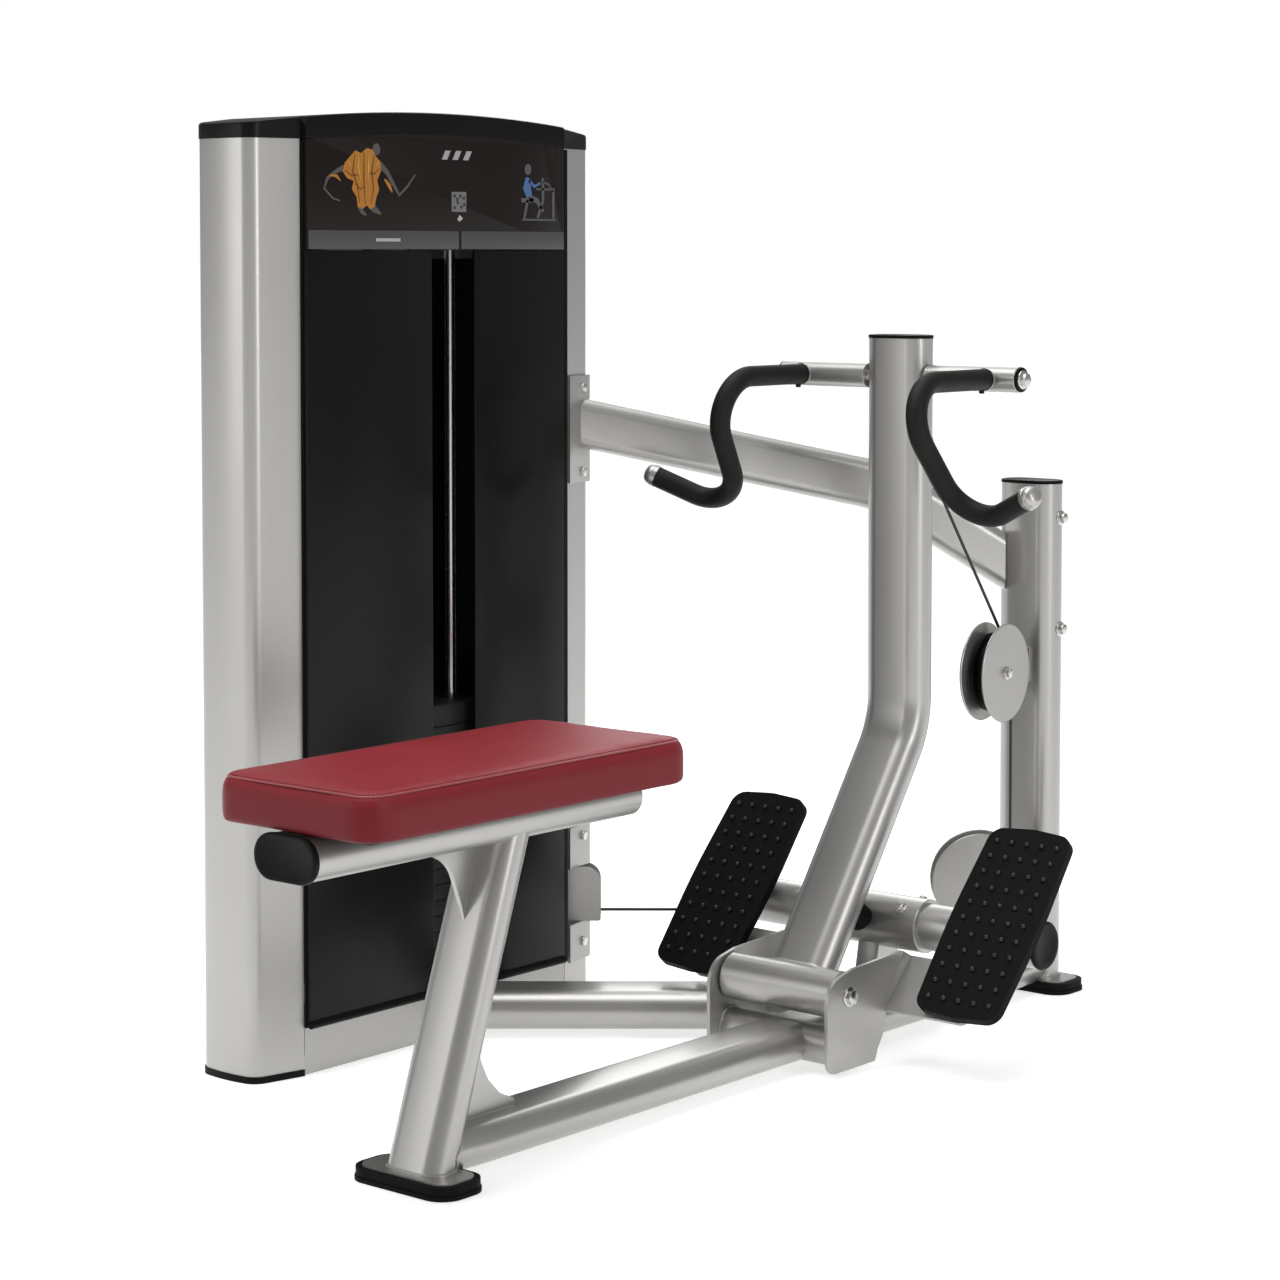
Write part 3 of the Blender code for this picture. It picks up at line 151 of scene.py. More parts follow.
def into_scene(name, bm, finish, crease=32, weld=0.00002):
    """Close a shape, point its faces outwards, shade it and give it its finish."""
    bmesh.ops.remove_doubles(bm, verts=bm.verts, dist=weld)
    bmesh.ops.recalc_face_normals(bm, faces=bm.faces)
    mesh = bpy.data.meshes.new(name)
    bm.to_mesh(mesh)
    bm.free()
    mesh.materials.append(finish.material)
    mesh.shade_smooth()
    mesh.set_sharp_from_angle(angle=math.radians(crease))
    made = bpy.data.objects.new(name, mesh)
    bpy.context.scene.collection.objects.link(made)
    return made


def fit(made, body, slot, *nodes):
    """Hang a finished piece on its body in place of the plain solids it stands for."""
    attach(made, body)
    if nodes:
        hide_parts(*nodes)


def piece(name, bm, finish, body, *nodes, **shading):
    """Make a shape into a visible piece of one finish, on its body."""
    fit(into_scene(name, bm, finish, **shading), body, finish.slot, *nodes)


def fillet(points, radius, steps=8, closed=True):
    """Round the corners of a polyline; radius is one value or one for each point."""
    count = len(points)
    radii = radius if isinstance(radius, (list, tuple)) else [radius] * count
    rounded = []
    for index, corner in enumerate(points):
        corner = Vector(corner)
        size = radii[index]
        if not size or (not closed and index in (0, count - 1)):
            rounded.append(corner)
            continue
        back = (Vector(points[index - 1]) - corner).normalized()
        ahead = (Vector(points[(index + 1) % count]) - corner).normalized()
        half = back.angle(ahead) / 2
        centre = corner + (back + ahead).normalized() * (size / math.sin(half))
        first = corner + back * (size / math.tan(half)) - centre
        last = corner + ahead * (size / math.tan(half)) - centre
        turn = math.pi - 2 * half
        side = (last - first * math.cos(turn)) / math.sin(turn)
        for step in range(steps + 1):
            angle = turn * step / steps
            rounded.append(centre + first * math.cos(angle) + side * math.sin(angle))
    return rounded


def slab(bm, outline, depth, centre, across=X_AXIS, up=Y_AXIS, edge=0.0, segments=3):
    """A flat plate round a point, with both its rims rounded over by edge."""
    across, up = across.normalized(), up.normalized()
    normal = across.cross(up)
    rings = [[bm.verts.new(centre + across * p[0] + up * p[1] + normal * depth * side) for p in outline]
             for side in (-0.5, 0.5)]
    faces = [bm.faces.new(ring) for ring in rings]
    for k in range(len(outline)):
        after = (k + 1) % len(outline)
        bm.faces.new((rings[0][k], rings[0][after], rings[1][after], rings[1][k]))
    if edge:
        rims = [rim for face in faces for rim in face.edges]
        bmesh.ops.bevel(bm, geom=rims, offset=edge, segments=segments, affect="EDGES", profile=0.5)


def box(x_from, x_to, y_from, y_to):
    """The four corners of a flat rectangle."""
    return [(x_from, y_from, 0), (x_to, y_from, 0), (x_to, y_to, 0), (x_from, y_to, 0)]


def oblong(wide, tall):
    """The four corners of a rectangle about the middle."""
    return box(-wide / 2, wide / 2, -tall / 2, tall / 2)


def racetrack(grow=0.0):
    """A foot's outline, grown or shrunk all round."""
    wide, long = FOOT_HALF_WIDTH + grow, FOOT_HALF_LENGTH + grow
    return fillet(box(-wide, wide, -long, long), FOOT_CORNER + grow, 12)


rubber = Finish("black_rubber", Base_Color=(0.006, 0.006, 0.006), Roughness=0.62, Specular_IOR_Level=0.10)
rubber.set(Roughness=0.55 + rubber.noise(60.0) * 0.18,
           Normal=rubber.bumps(rubber.noise(900.0, 3.0), 0.0004, 0.6))
SHOE_BASE, SHOE_OVERLAP = 0.006, 0.005
for node, x in (("front_foot", 0.0), ("rear_foot", UPRIGHT_X)):
    shoe = bmesh.new()
    slab(shoe, racetrack(), SHOE_BASE, at(x, 0, SHOE_BASE / 2), edge=0.0012)
    slab(shoe, racetrack(-0.0015), FOOT_HEIGHT - SHOE_OVERLAP,
         at(x, 0, SHOE_OVERLAP + (FOOT_HEIGHT - SHOE_OVERLAP) / 2), edge=0.004)
    piece(node + "_shoe", shoe, rubber, "frame", node)

# ==== Seat post ================================================================================
# The leaning front post: flat-oval steel tube in silver powder coat, welded to a sole plate at
# the foot and stiffened by two thin gussets, one under the seat tube and one behind the heel.
POST_WIDE, POST_THICK = 0.101, 0.055
POST_LEAN = math.radians(19.0)
SEAT_TUBE_Z, SEAT_WIDE, SEAT_THICK = 0.471, 0.110, 0.058
BEAM_Z, BEAM_WIDE, BEAM_THICK = 0.040, 0.108, 0.056


def oval(wide, thick, steps=14):
    """The outline of a flat-oval tube, across its width and its thickness."""
    radius = thick / 2
    reach = wide / 2 - radius
    return [(side * reach + radius * math.cos(math.radians(start + 180 * k / steps)),
             radius * math.sin(math.radians(start + 180 * k / steps)))
            for side, start in ((1, -90), (-1, 90)) for k in range(steps + 1)]


def circle(radius, steps=32):
    """The outline of a round bar."""
    return [(radius * math.cos(2 * math.pi * k / steps), radius * math.sin(2 * math.pi * k / steps))
            for k in range(steps)]


def skin(bm, rings, closed=False):
    """Join rings of vertices, each to the next, with quads."""
    for ring, following in list(zip(rings, rings[1:])) + ([(rings[-1], rings[0])] if closed else []):
        for k in range(len(ring)):
            after = (k + 1) % len(ring)
            bm.faces.new((ring[k], ring[after], following[after], following[k]))


def sweep(bm, path, section, wide_axis=None, closed=False):
    """Carry a section along a path, its width kept on wide_axis where one is given."""
    rings, side, count = [], None, len(path)
    for k, point in enumerate(path):
        before = (point - path[k - 1]).normalized() if k or closed else None
        after = (path[(k + 1) % count] - point).normalized() if k + 1 < count or closed else None
        tangent = ((before or after) + (after or before)).normalized()
        if wide_axis is not None:
            side = Vector(wide_axis).normalized()
        elif side is None:
            side = tangent.orthogonal().normalized()
        else:
            side = (side - tangent * side.dot(tangent)).normalized()
        other = tangent.cross(side).normalized()
        rings.append([bm.verts.new(point + side * a + other * b) for a, b in section])
    skin(bm, rings, closed)
    if not closed:
        bm.faces.new(list(reversed(rings[0])))
        bm.faces.new(rings[-1])


def trim(bm, point, outward):
    """Saw off everything beyond a plane and close the cut end."""
    everything = bm.verts[:] + bm.edges[:] + bm.faces[:]
    bmesh.ops.bisect_plane(bm, geom=everything, dist=0.000001, plane_co=point, plane_no=outward,
                           clear_outer=True)
    bmesh.ops.holes_fill(bm, edges=[edge for edge in bm.edges if edge.is_boundary], sides=0)


def bead(bm, section, centre, axis, wide_axis, point, normal, radius=0.0028, fall=lambda a: 0.0):
    """A weld bead where a tube meets another piece.

    The tube's outline is thrown along it onto a plane, and then back by fall(a), which is how
    far the other piece curves away there.
    """
    axis, side = axis.normalized(), Vector(wide_axis).normalized()
    other = axis.cross(side).normalized()
    loop = []
    for a, b in section:
        edge = centre + side * a + other * b
        loop.append(edge + axis * ((point - edge).dot(normal) / axis.dot(normal) - fall(a)))
    thin = [p for k, p in enumerate(loop) if (p - loop[k - 1]).length > 0.0004]
    sweep(bm, thin, circle(radius, 10), closed=True)


def sole_plate(bm, x):
    """The steel plate that a post is welded to, pressed into its rubber shoe."""
    slab(bm, racetrack(-0.0105), 0.0085, at(x, 0, 0.0160), edge=0.0012)


def post_point(height):
    """The middle of the leaning post at a height."""
    return at(height * math.tan(POST_LEAN), 0, height)


silver = Finish("silver_paint", Base_Color=(0.47, 0.46, 0.44), Roughness=0.30, Metallic=0.70,
                Coat_Roughness=0.12)
flake = silver.noise(1400.0, 1.0)
silver.set(Base_Color=silver.between(flake, (0.40, 0.395, 0.38), (0.56, 0.55, 0.53)),
           Roughness=0.28 + silver.noise(9.0) * 0.07 + flake * 0.05,
           Coat_Weight=0.25,
           Normal=silver.bumps(silver.noise(420.0, 2.0), 0.00015, 0.35))

post = bmesh.new()
post_section = oval(POST_WIDE, POST_THICK)
sweep(post, [post_point(-0.04), post_point(SEAT_TUBE_Z)], post_section, Y_AXIS)
trim(post, at(0, 0, 0.012), -Z_AXIS)
trim(post, at(0, 0, SEAT_TUBE_Z), Z_AXIS)
sole_plate(post, 0)
SOLE_WELD_Z = 0.0206
bead(post, post_section, post_point(0.0), post_point(1.0) - post_point(0.0), Y_AXIS,
     at(0, 0, SOLE_WELD_Z), Z_AXIS)
GUSSET_THICK, GUSSET_WELD_Y = 0.007, 0.0045
under = SEAT_TUBE_Z - SEAT_THICK / 2 + 0.003
nose = fillet([(0.006, under, 0), (0.060, under - 0.026, 0), (0.083, under - 0.085, 0), (0.093, 0.318, 0),
               (0.150, 0.318, 0), (0.170, under, 0)], [0, 0.05, 0.03, 0, 0, 0], 8)
slab(post, nose, GUSSET_THICK, at(0, 0, 0), X_AXIS, Z_AXIS, edge=0.0012)
top = BEAM_Z + BEAM_THICK / 2 - 0.001
heel = fillet([(0.020, top, 0), (0.190, top, 0), (0.186, 0.078, 0), (0.158, 0.090, 0), (0.134, 0.114, 0),
               (0.118, 0.146, 0), (0.115, 0.190, 0), (0.050, 0.190, 0)],
              [0, 0.001, 0.002, 0.03, 0.04, 0.04, 0.004, 0], 6)
slab(post, heel, GUSSET_THICK, at(0, 0, 0), X_AXIS, Z_AXIS, edge=0.0012)
for weld_y in (GUSSET_WELD_Y, -GUSSET_WELD_Y):
    sweep(post, [at(0.072, weld_y, 0.185), at(0.0560, weld_y, 0.085)], circle(0.0022, 8))
    sweep(post, [at(0.060, weld_y, top + 0.001), at(0.182, weld_y, top + 0.001)], circle(0.0020, 8))
piece("seat_post_tube", post, silver, "frame", "seat_post")

# ==== Seat tube, its end cap and the board =====================================================
# A level flat-oval tube under the seat, plugged in front by a black moulded cap with a rolled
# edge. The seat's plywood board lies on it, blackened, and is screwed up from below.
SEAT_X = (-0.232, 0.400)


def cap_plug(bm, section, centre, axis, depth, edge=0.0015):
    """A moulded plug pushed on a tube's end: a flange with a rounded rim and a dished face."""
    rings = []
    for share, rise in ((1.0, 0.0), (1.0, depth - edge), (1.0 - 0.012, depth - edge * 0.3),
                        (1.0 - 0.04, depth), (1.0 - 0.12, depth), (1.0 - 0.16, depth - 0.0008)):
        rings.append([bm.verts.new(centre + Y_AXIS * a * share + axis.cross(Y_AXIS) * b * share + axis * rise)
                      for a, b in section])
    skin(bm, rings)
    bm.faces.new(rings[0])
    bm.faces.new(rings[-1])


tube = bmesh.new()
sweep(tube, [at(SEAT_X[0], 0, SEAT_TUBE_Z), at(SEAT_X[1], 0, SEAT_TUBE_Z)], oval(SEAT_WIDE, SEAT_THICK),
      Y_AXIS)
piece("seat_rail", tube, silver, "frame", "seat_tube")

plastic = Finish("black_plastic", Base_Color=(0.005, 0.005, 0.005), Roughness=0.42, Specular_IOR_Level=0.10)
plastic.set(Roughness=0.38 + plastic.noise(40.0) * 0.10,
            Normal=plastic.bumps(plastic.noise(1500.0, 2.0), 0.0002, 0.5))
plug = bmesh.new()
cap_plug(plug, oval(SEAT_WIDE + 0.003, SEAT_THICK + 0.003), at(SEAT_X[0], 0, SEAT_TUBE_Z), -X_AXIS, 0.008)
piece("seat_rail_cap", plug, plastic, "frame", "seat_tube_front_cap")

plywood = Finish("board", Base_Color=(0.05, 0.04, 0.035), Roughness=0.7)
grain = plywood.noise(14.0, 4.0, (1, 9, 60))
plywood.set(Base_Color=plywood.between(grain, (0.030, 0.024, 0.020), (0.075, 0.060, 0.048)))


def paint(finish, *nodes):
    """Give a carried-over solid its finish."""
    for node in nodes:
        for slot in frame["nodes"][node].material_slots:
            slot.material = finish.material


paint(plywood, "seat_board")

# ==== Seat pad =================================================================================
# A foam pad covered in dark red vinyl, with a flat crowned top, an upright side band and a thin
# sewn welt between them. It is swelled by a cloth simulation, then the welt and stitches follow.
pad_low, pad_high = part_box("seat_pad")
PAD_CORNER = 0.045


def pad_outline(inset, steps=12):
    """The pad's plan, pulled in all round."""
    corners = box(pad_low.x + inset, pad_high.x - inset, pad_low.y + inset, pad_high.y - inset)
    return fillet(corners, PAD_CORNER - inset, steps)


def bake(made):
    """Make a piece's modifiers part of its mesh."""
    graph = bpy.context.evaluated_depsgraph_get()
    made.data = bpy.data.meshes.new_from_object(made.evaluated_get(graph))
    made.modifiers.clear()


vinyl = Finish("red_vinyl", Base_Color=(0.27, 0.018, 0.026), Roughness=0.46, Specular_IOR_Level=0.22)
hide = vinyl.node("ShaderNodeTexVoronoi", {"feature": "DISTANCE_TO_EDGE"},
                  {"Vector": vinyl.place(), "Scale": 620.0})
cloudy = vinyl.noise(7.0, 3.0)
vinyl.set(Base_Color=vinyl.between(cloudy, (0.250, 0.018, 0.026), (0.300, 0.026, 0.034)),
          Roughness=0.40 + cloudy * 0.10,
          Normal=vinyl.bumps(hide, 0.0005, 0.35))

TOP_SWELL, SIDE_SWELL, TOP_BAND, CLOTH_FRAMES = 0.0050, 0.0012, 0.016, 20
pad = bmesh.new()
slab(pad, pad_outline(SIDE_SWELL), pad_high.z - pad_low.z - 0.006,
     Vector((0, 0, (pad_high.z + pad_low.z) / 2 - 0.001)), edge=0.009, segments=4)
cushion = into_scene("seat_cushion", pad, vinyl, crease=80)
remesh = cushion.modifiers.new("remesh", "REMESH")
remesh.mode = "VOXEL"
remesh.voxel_size = 0.006
bake(cushion)
before = [v.co.copy() for v in cushion.data.vertices]
cloth = cushion.modifiers.new("cloth", "CLOTH")
cloth.settings.quality = 5
cloth.settings.use_pressure = True
cloth.settings.uniform_pressure_force = 4.0
cloth.settings.tension_stiffness = 40.0
cloth.settings.effector_weights.gravity = 0.0
for step in range(1, CLOTH_FRAMES + 1):
    bpy.context.scene.frame_set(step)
bake(cushion)
bpy.context.scene.frame_set(1)
for vert, start in zip(cushion.data.vertices, before):
    move = vert.co - start
    most = TOP_SWELL if start.z > pad_high.z - TOP_BAND else SIDE_SWELL
    if move.length > most:
        move *= most / move.length
    vert.co = start + move
cushion.data.materials.clear()
cushion.data.materials.append(vinyl.material)
relax = bmesh.new()
relax.from_mesh(cushion.data)
for step in range(3):
    bmesh.ops.smooth_vert(relax, verts=relax.verts, factor=0.5, use_axis_x=True, use_axis_y=True,
                          use_axis_z=True)
crown_z = max(v.co.z for v in relax.verts)
for vert in relax.verts:
    vert.co.z = max(vert.co.z, pad_low.z)
relax.to_mesh(cushion.data)
relax.free()
cushion.data.shade_smooth()
finer = cushion.modifiers.new("finer", "SUBSURF")
finer.levels = finer.render_levels = 1
bake(cushion)
fit(cushion, "frame", "red_vinyl", "seat_pad")


class Recipe:
    """A geometry-nodes tree with named inputs; make() runs it and returns a plain mesh object."""

    def __init__(self, name, **inputs):
        self.tree = bpy.data.node_groups.new(name, "GeometryNodeTree")
        face = self.tree.interface
        face.new_socket("Geometry", in_out="INPUT", socket_type="NodeSocketGeometry")
        face.new_socket("Geometry", in_out="OUTPUT", socket_type="NodeSocketGeometry")
        self.ids = {}
        for label, kind in {**inputs, "Finish": "Material"}.items():
            made = face.new_socket(label, in_out="INPUT", socket_type="NodeSocket" + kind)
            self.ids[label] = made.identifier
        self.given = self.tree.nodes.new("NodeGroupInput")
        self.result = self.tree.nodes.new("NodeGroupOutput")

    def __getitem__(self, label):
        return self.given.outputs[label]

    def add(self, kind, settings=None, sockets=None, output=0):
        made = self.tree.nodes.new(kind)
        for label, value in (settings or {}).items():
            setattr(made, label, value)
        for label, value in (sockets or {}).items():
            if isinstance(value, bpy.types.NodeSocket):
                self.tree.links.new(value, made.inputs[label])
            else:
                made.inputs[label].default_value = value
        return made.outputs[output]

    def end(self, geometry, smooth=True):
        real = self.add("GeometryNodeRealizeInstances", {}, {"Geometry": geometry})
        shaded = self.add("GeometryNodeSetShadeSmooth", {}, {"Geometry": real, "Shade Smooth": smooth})
        painted = self.add("GeometryNodeSetMaterial", {}, {"Geometry": shaded, "Material": self["Finish"]})
        self.tree.links.new(painted, self.result.inputs["Geometry"])

    def make(self, name, finish, seed, where=None, bevel=0.0, **values):
        holder = bpy.data.objects.new(name, seed)
        bpy.context.scene.collection.objects.link(holder)
        step = holder.modifiers.new("recipe", "NODES")
        step.node_group = self.tree
        step[self.ids["Finish"]] = finish.material
        for label, value in values.items():
            step[self.ids[label]] = value
        if bevel:
            rounding = holder.modifiers.new("rounding", "BEVEL")
            rounding.width, rounding.segments, rounding.limit_method = bevel, 2, "ANGLE"
        bake(holder)
        if where:
            holder.data.transform(where)
        if bevel:
            holder.data.shade_smooth()
            holder.data.set_sharp_from_angle(angle=math.radians(32))
        return holder


def line_mesh(points, closed=False):
    """A wire along some points, as the seed that a recipe follows."""
    seed = bpy.data.meshes.new("wire")
    count = len(points)
    edges = [(k, (k + 1) % count) for k in range(count if closed else count - 1)]
    seed.from_pydata([tuple(p) for p in points], edges, [])
    return seed


pad_surface = bmesh.new()
pad_surface.from_mesh(cushion.data)
skin_tree = BVHTree.FromBMesh(pad_surface)


def on_pad(inset, above, lift):
    """A line round the pad's top, laid on the swelled surface."""
    line = []
    for point in pad_outline(inset, 16):
        hit, normal, _, _ = skin_tree.find_nearest(Vector((point.x, point.y, crown_z + above)))
        line.append(hit + normal * lift)
    return line


welt_tube = bmesh.new()
sweep(welt_tube, on_pad(0.0060, 0.001, 0.0004), circle(0.0016, 10), closed=True)
# The welt is the same red vinyl painted lighter: the lighter colour is a painted highlight along the rounded
# welt.
welt_painted_highlight = Finish("red_welt_painted_highlight", "red_vinyl", Base_Color=(0.40, 0.085, 0.095), Roughness=0.36)
welt_painted_highlight.set(Normal=welt_painted_highlight.bumps(welt_painted_highlight.noise(500.0), 0.0003, 0.4))
piece("seat_welt", welt_tube, welt_painted_highlight, "frame")

stitch = Recipe("stitches", Pitch="Float", Length="Float", Thread="Float")
row = stitch.add("GeometryNodeMeshToCurve", {}, {"Mesh": stitch["Geometry"]})
spaced = stitch.add("GeometryNodeResampleCurve", {"mode": "LENGTH"},
                    {"Curve": row, "Length": stitch["Pitch"]})
along = stitch.add("GeometryNodeInputTangent")
turn = stitch.add("FunctionNodeAlignRotationToVector", {"axis": "Z"}, {"Vector": along})
thread = stitch.add("GeometryNodeMeshCylinder", {"fill_type": "NGON"},
                    {"Vertices": 6, "Radius": stitch["Thread"], "Depth": stitch["Length"]})
stitches = stitch.add("GeometryNodeInstanceOnPoints", {},
                      {"Points": spaced, "Instance": thread, "Rotation": turn})
stitch.end(stitches)
sewing = Finish("red_thread", Base_Color=(0.17, 0.02, 0.025), Roughness=0.8)
sewn = stitch.make("seat_stitches", sewing, line_mesh(on_pad(0.0125, 0.002, 0.0003), True),
                   Pitch=0.0055, Length=0.0038, Thread=0.00045)
fit(sewn, "frame", "red_vinyl")
pad_surface.free()

# ==== Floor beam ===============================================================================
# A long flat-oval beam lying on its flat, from the seat post through the pivot bracket to the
# rear upright, powder coated silver, with its ends cut to fit them and a weld bead round each.
PINCH = 0.90
beam_section = oval(BEAM_WIDE, BEAM_THICK)
pinched = [(a * PINCH, b) for a, b in beam_section]


def cope(across, wide, thick):
    """How far a flat-oval tube's rounded edge falls back from its flat face."""
    past = min(max(abs(across) - (wide - thick) / 2, 0.0), thick / 2)
    return thick / 2 - math.sqrt(thick * thick / 4 - past * past)


def cope_end(bm, flat_x, way, wide, thick):
    """Pinch a beam's end a little and reshape it to hug the rounded tube that it meets."""
    for v in bm.verts:
        if (v.co.x - flat_x(v.co.z)) * way > -0.0001:
            across = (v.co.y - at(0, 0, 0).y) * PINCH
            v.co = (v.co.x + way * cope(across, wide, thick), at(0, 0, 0).y + across, v.co.z)


front_beam = bmesh.new()
sweep(front_beam, [at(-0.03, 0, BEAM_Z), at(0.095, 0, BEAM_Z), at(0.810, 0, BEAM_Z)], beam_section, Y_AXIS)
lean = Vector((math.cos(POST_LEAN), 0, -math.sin(POST_LEAN)))
beam_end = post_point(BEAM_Z) + lean * (POST_THICK / 2 - 0.007)
trim(front_beam, beam_end, -lean)
cope_end(front_beam, lambda z: beam_end.x - (z - beam_end.z) * lean.z / lean.x, -1, POST_WIDE, POST_THICK)
bead(front_beam, pinched, at(0, 0, BEAM_Z), X_AXIS, Y_AXIS, post_point(BEAM_Z) + lean * (POST_THICK / 2),
     lean, 0.0026,
     lambda a: cope(a, POST_WIDE, POST_THICK))
piece("front_beam_tube", front_beam, silver, "frame", "floor_beam")
UPRIGHT_WIDE, UPRIGHT_THICK, UPRIGHT_TOP = 0.109, 0.058, 0.850
rear_tube, rear_end = bmesh.new(), at(UPRIGHT_X - 0.024, 0, BEAM_Z)
sweep(rear_tube, [at(0.810, 0, BEAM_Z), at(UPRIGHT_X - 0.09, 0, BEAM_Z), rear_end], beam_section, Y_AXIS)
cope_end(rear_tube, lambda z: rear_end.x, 1, UPRIGHT_WIDE, UPRIGHT_THICK)
bead(rear_tube, pinched, at(0, 0, BEAM_Z), X_AXIS, Y_AXIS, at(UPRIGHT_X - UPRIGHT_THICK / 2, 0, 0), X_AXIS,
     0.0026,
     lambda a: -cope(a, UPRIGHT_WIDE, UPRIGHT_THICK))
piece("rear_beam_tube", rear_tube, silver, "frame", "rear_beam")

# ==== Rear upright =============================================================================
# The upright that holds the cable pulleys: flat-oval tube on a sole plate, plugged on top, with
# two hexagon bolts through its rounded edge that hold the link from the tower.
upright_section = oval(UPRIGHT_WIDE, UPRIGHT_THICK)
upright = bmesh.new()
sweep(upright, [at(UPRIGHT_X, 0, 0.012), at(UPRIGHT_X, 0, UPRIGHT_TOP)], upright_section, Y_AXIS)
sole_plate(upright, UPRIGHT_X)
bead(upright, upright_section, at(UPRIGHT_X, 0, 0), Z_AXIS, Y_AXIS, at(UPRIGHT_X, 0, SOLE_WELD_Z), Z_AXIS)
piece("upright_tube", upright, silver, "frame", "rear_upright")
plug = bmesh.new()
cap_plug(plug, oval(UPRIGHT_WIDE + 0.002, UPRIGHT_THICK + 0.002), at(UPRIGHT_X, 0, UPRIGHT_TOP), Z_AXIS,
         0.0055)
piece("upright_plug", plug, plastic, "frame", "upright_cap")

steel = Finish("bright_steel", Base_Color=(0.62, 0.61, 0.59), Roughness=0.22, Metallic=1.0)
steel.set(Roughness=0.16 + steel.noise(300.0, 2.0) * 0.16)
bolt = Recipe("hexagon_bolts", Across="Float", Head="Float", Washer="Float")
out = bolt.add("GeometryNodeInputNamedAttribute", {"data_type": "FLOAT_VECTOR"}, {"Name": "out"})
face = bolt.add("FunctionNodeAlignRotationToVector", {"axis": "Z"}, {"Vector": out})
head = bolt.add("GeometryNodeMeshCylinder", {"fill_type": "NGON"},
                {"Vertices": 6, "Radius": bolt["Across"], "Depth": bolt["Head"]})
lift = bolt.add("ShaderNodeCombineXYZ", {}, {"Z": bolt.add("ShaderNodeMath", {"operation": "MULTIPLY_ADD"},
                {0: bolt["Head"], 1: 0.5, 2: 0.0016})})
raised = bolt.add("GeometryNodeTransform", {}, {"Geometry": head, "Translation": lift})
washer = bolt.add("GeometryNodeMeshCylinder", {"fill_type": "NGON"},
                  {"Vertices": 40, "Radius": bolt["Washer"], "Depth": 0.0032})
join = bolt.tree.nodes.new("GeometryNodeJoinGeometry")
for part in (raised, washer):
    bolt.tree.links.new(part, join.inputs[0])
heads = bolt.add("GeometryNodeInstanceOnPoints", {},
                 {"Points": bolt["Geometry"], "Instance": join.outputs[0], "Rotation": face})
bolt.end(heads, False)


def bolt_seeds(places):
    """One loose point for each bolt, with the way that its head faces."""
    seed = bpy.data.meshes.new("bolt_places")
    seed.from_pydata([tuple(p) for p, _ in places], [], [])
    ways = seed.attributes.new("out", "FLOAT_VECTOR", "POINT")
    for k, (_, way) in enumerate(places):
        ways.data[k].vector = Vector(way).normalized()
    return seed


def put_bolts(name, places, across, head, washer, body="frame", bevel=0.0007):
    """Bolt heads on their washers, one at each place, facing the way that is given with it."""
    made = bolt.make(name, steel, bolt_seeds(places), bevel=bevel, Across=across, Head=head, Washer=washer)
    fit(made, body, "bright_steel")


put_bolts("upright_bolts", [(at(UPRIGHT_X + 0.004, -UPRIGHT_WIDE / 2, height), -Y_AXIS)
                            for height in (0.607, 0.793)], 0.0090, 0.008, 0.0125)

# ==== Links to the weight tower ================================================================
# A flat-oval tube on the floor ties the tower to the beam, and a deeper flat-sided one high up
# bends down to the upright. Both are painted steel; a plate bolted to the tower holds the high one.
TOWER_X, TOWER_Y, COVER_HALF = 0.578, 0.585, 0.296
base_start, base_end = at(0.571, 0.600, BEAM_Z), at(1.090, -0.018, BEAM_Z)
base_way = (base_end - base_start).normalized()
base_side = base_way.cross(Z_AXIS).normalized()
base_section = oval(0.116, 0.062)
link = bmesh.new()
sweep(link, [base_start, base_end], base_section, base_side)
trim(link, at(0, 0.5085, 0), Y_AXIS)
trim(link, at(0, 0.046, 0), -Y_AXIS)
bead(link, base_section, base_start, base_way, base_side, at(0, 0.5080, 0), Y_AXIS, 0.0026)
bead(link, base_section, base_start, base_way, base_side, at(0, 0.0540, 0), Y_AXIS, 0.0022)
piece("base_link_tube", link, silver, "frame", "base_link")


def cover_plan(side, offset=0.0, ends=COVER_HALF, steps=10):
    """The plan of a side cover, from its front inner edge round to its rear inner edge."""
    corners = [(ends, -0.0765 - offset), (0.3795 + offset, -0.0575 - offset), (0.3880 + offset, 0.0),
               (0.3795 + offset, 0.0575 + offset), (ends, 0.0765 + offset)]
    points = [at(TOWER_X + side * x, TOWER_Y + y, 0) for x, y in corners]
    return fillet(points, [0.0, 0.026 + offset, 0.24, 0.026 + offset, 0.0], steps, closed=False)


upper_corners = [at(0.935, 0.561, 0.9605), at(1.3137, 0.1847, 0.8450), at(1.4800, 0.0200, 0.6995)]
upper_side = (upper_corners[-1] - upper_corners[0]).cross(Z_AXIS).normalized()
upper_section = [(p.x, p.y) for p in fillet(oblong(0.094, 0.082), 0.021, 8)]
upper = bmesh.new()
sweep(upper, fillet(upper_corners, 0.25, 20, closed=False), upper_section, upper_side)
trim(upper, at(1.4645, 0.0475, 0), Vector((0.257, -0.3063, 0)))
piece("upper_link_tube", upper, silver, "frame", "upper_link")


def wrap_plate(bm, low_z, high_z):
    """A bent plate that wraps the tower's front corner."""
    outer = cover_plan(1, 0.0062, 0.3035)[:15]
    inner = cover_plan(1, 0.0012, 0.3035)[:15]
    slab(bm, outer + list(reversed(inner)), high_z - low_z, Vector((0, 0, (low_z + high_z) / 2)),
         edge=0.0008)


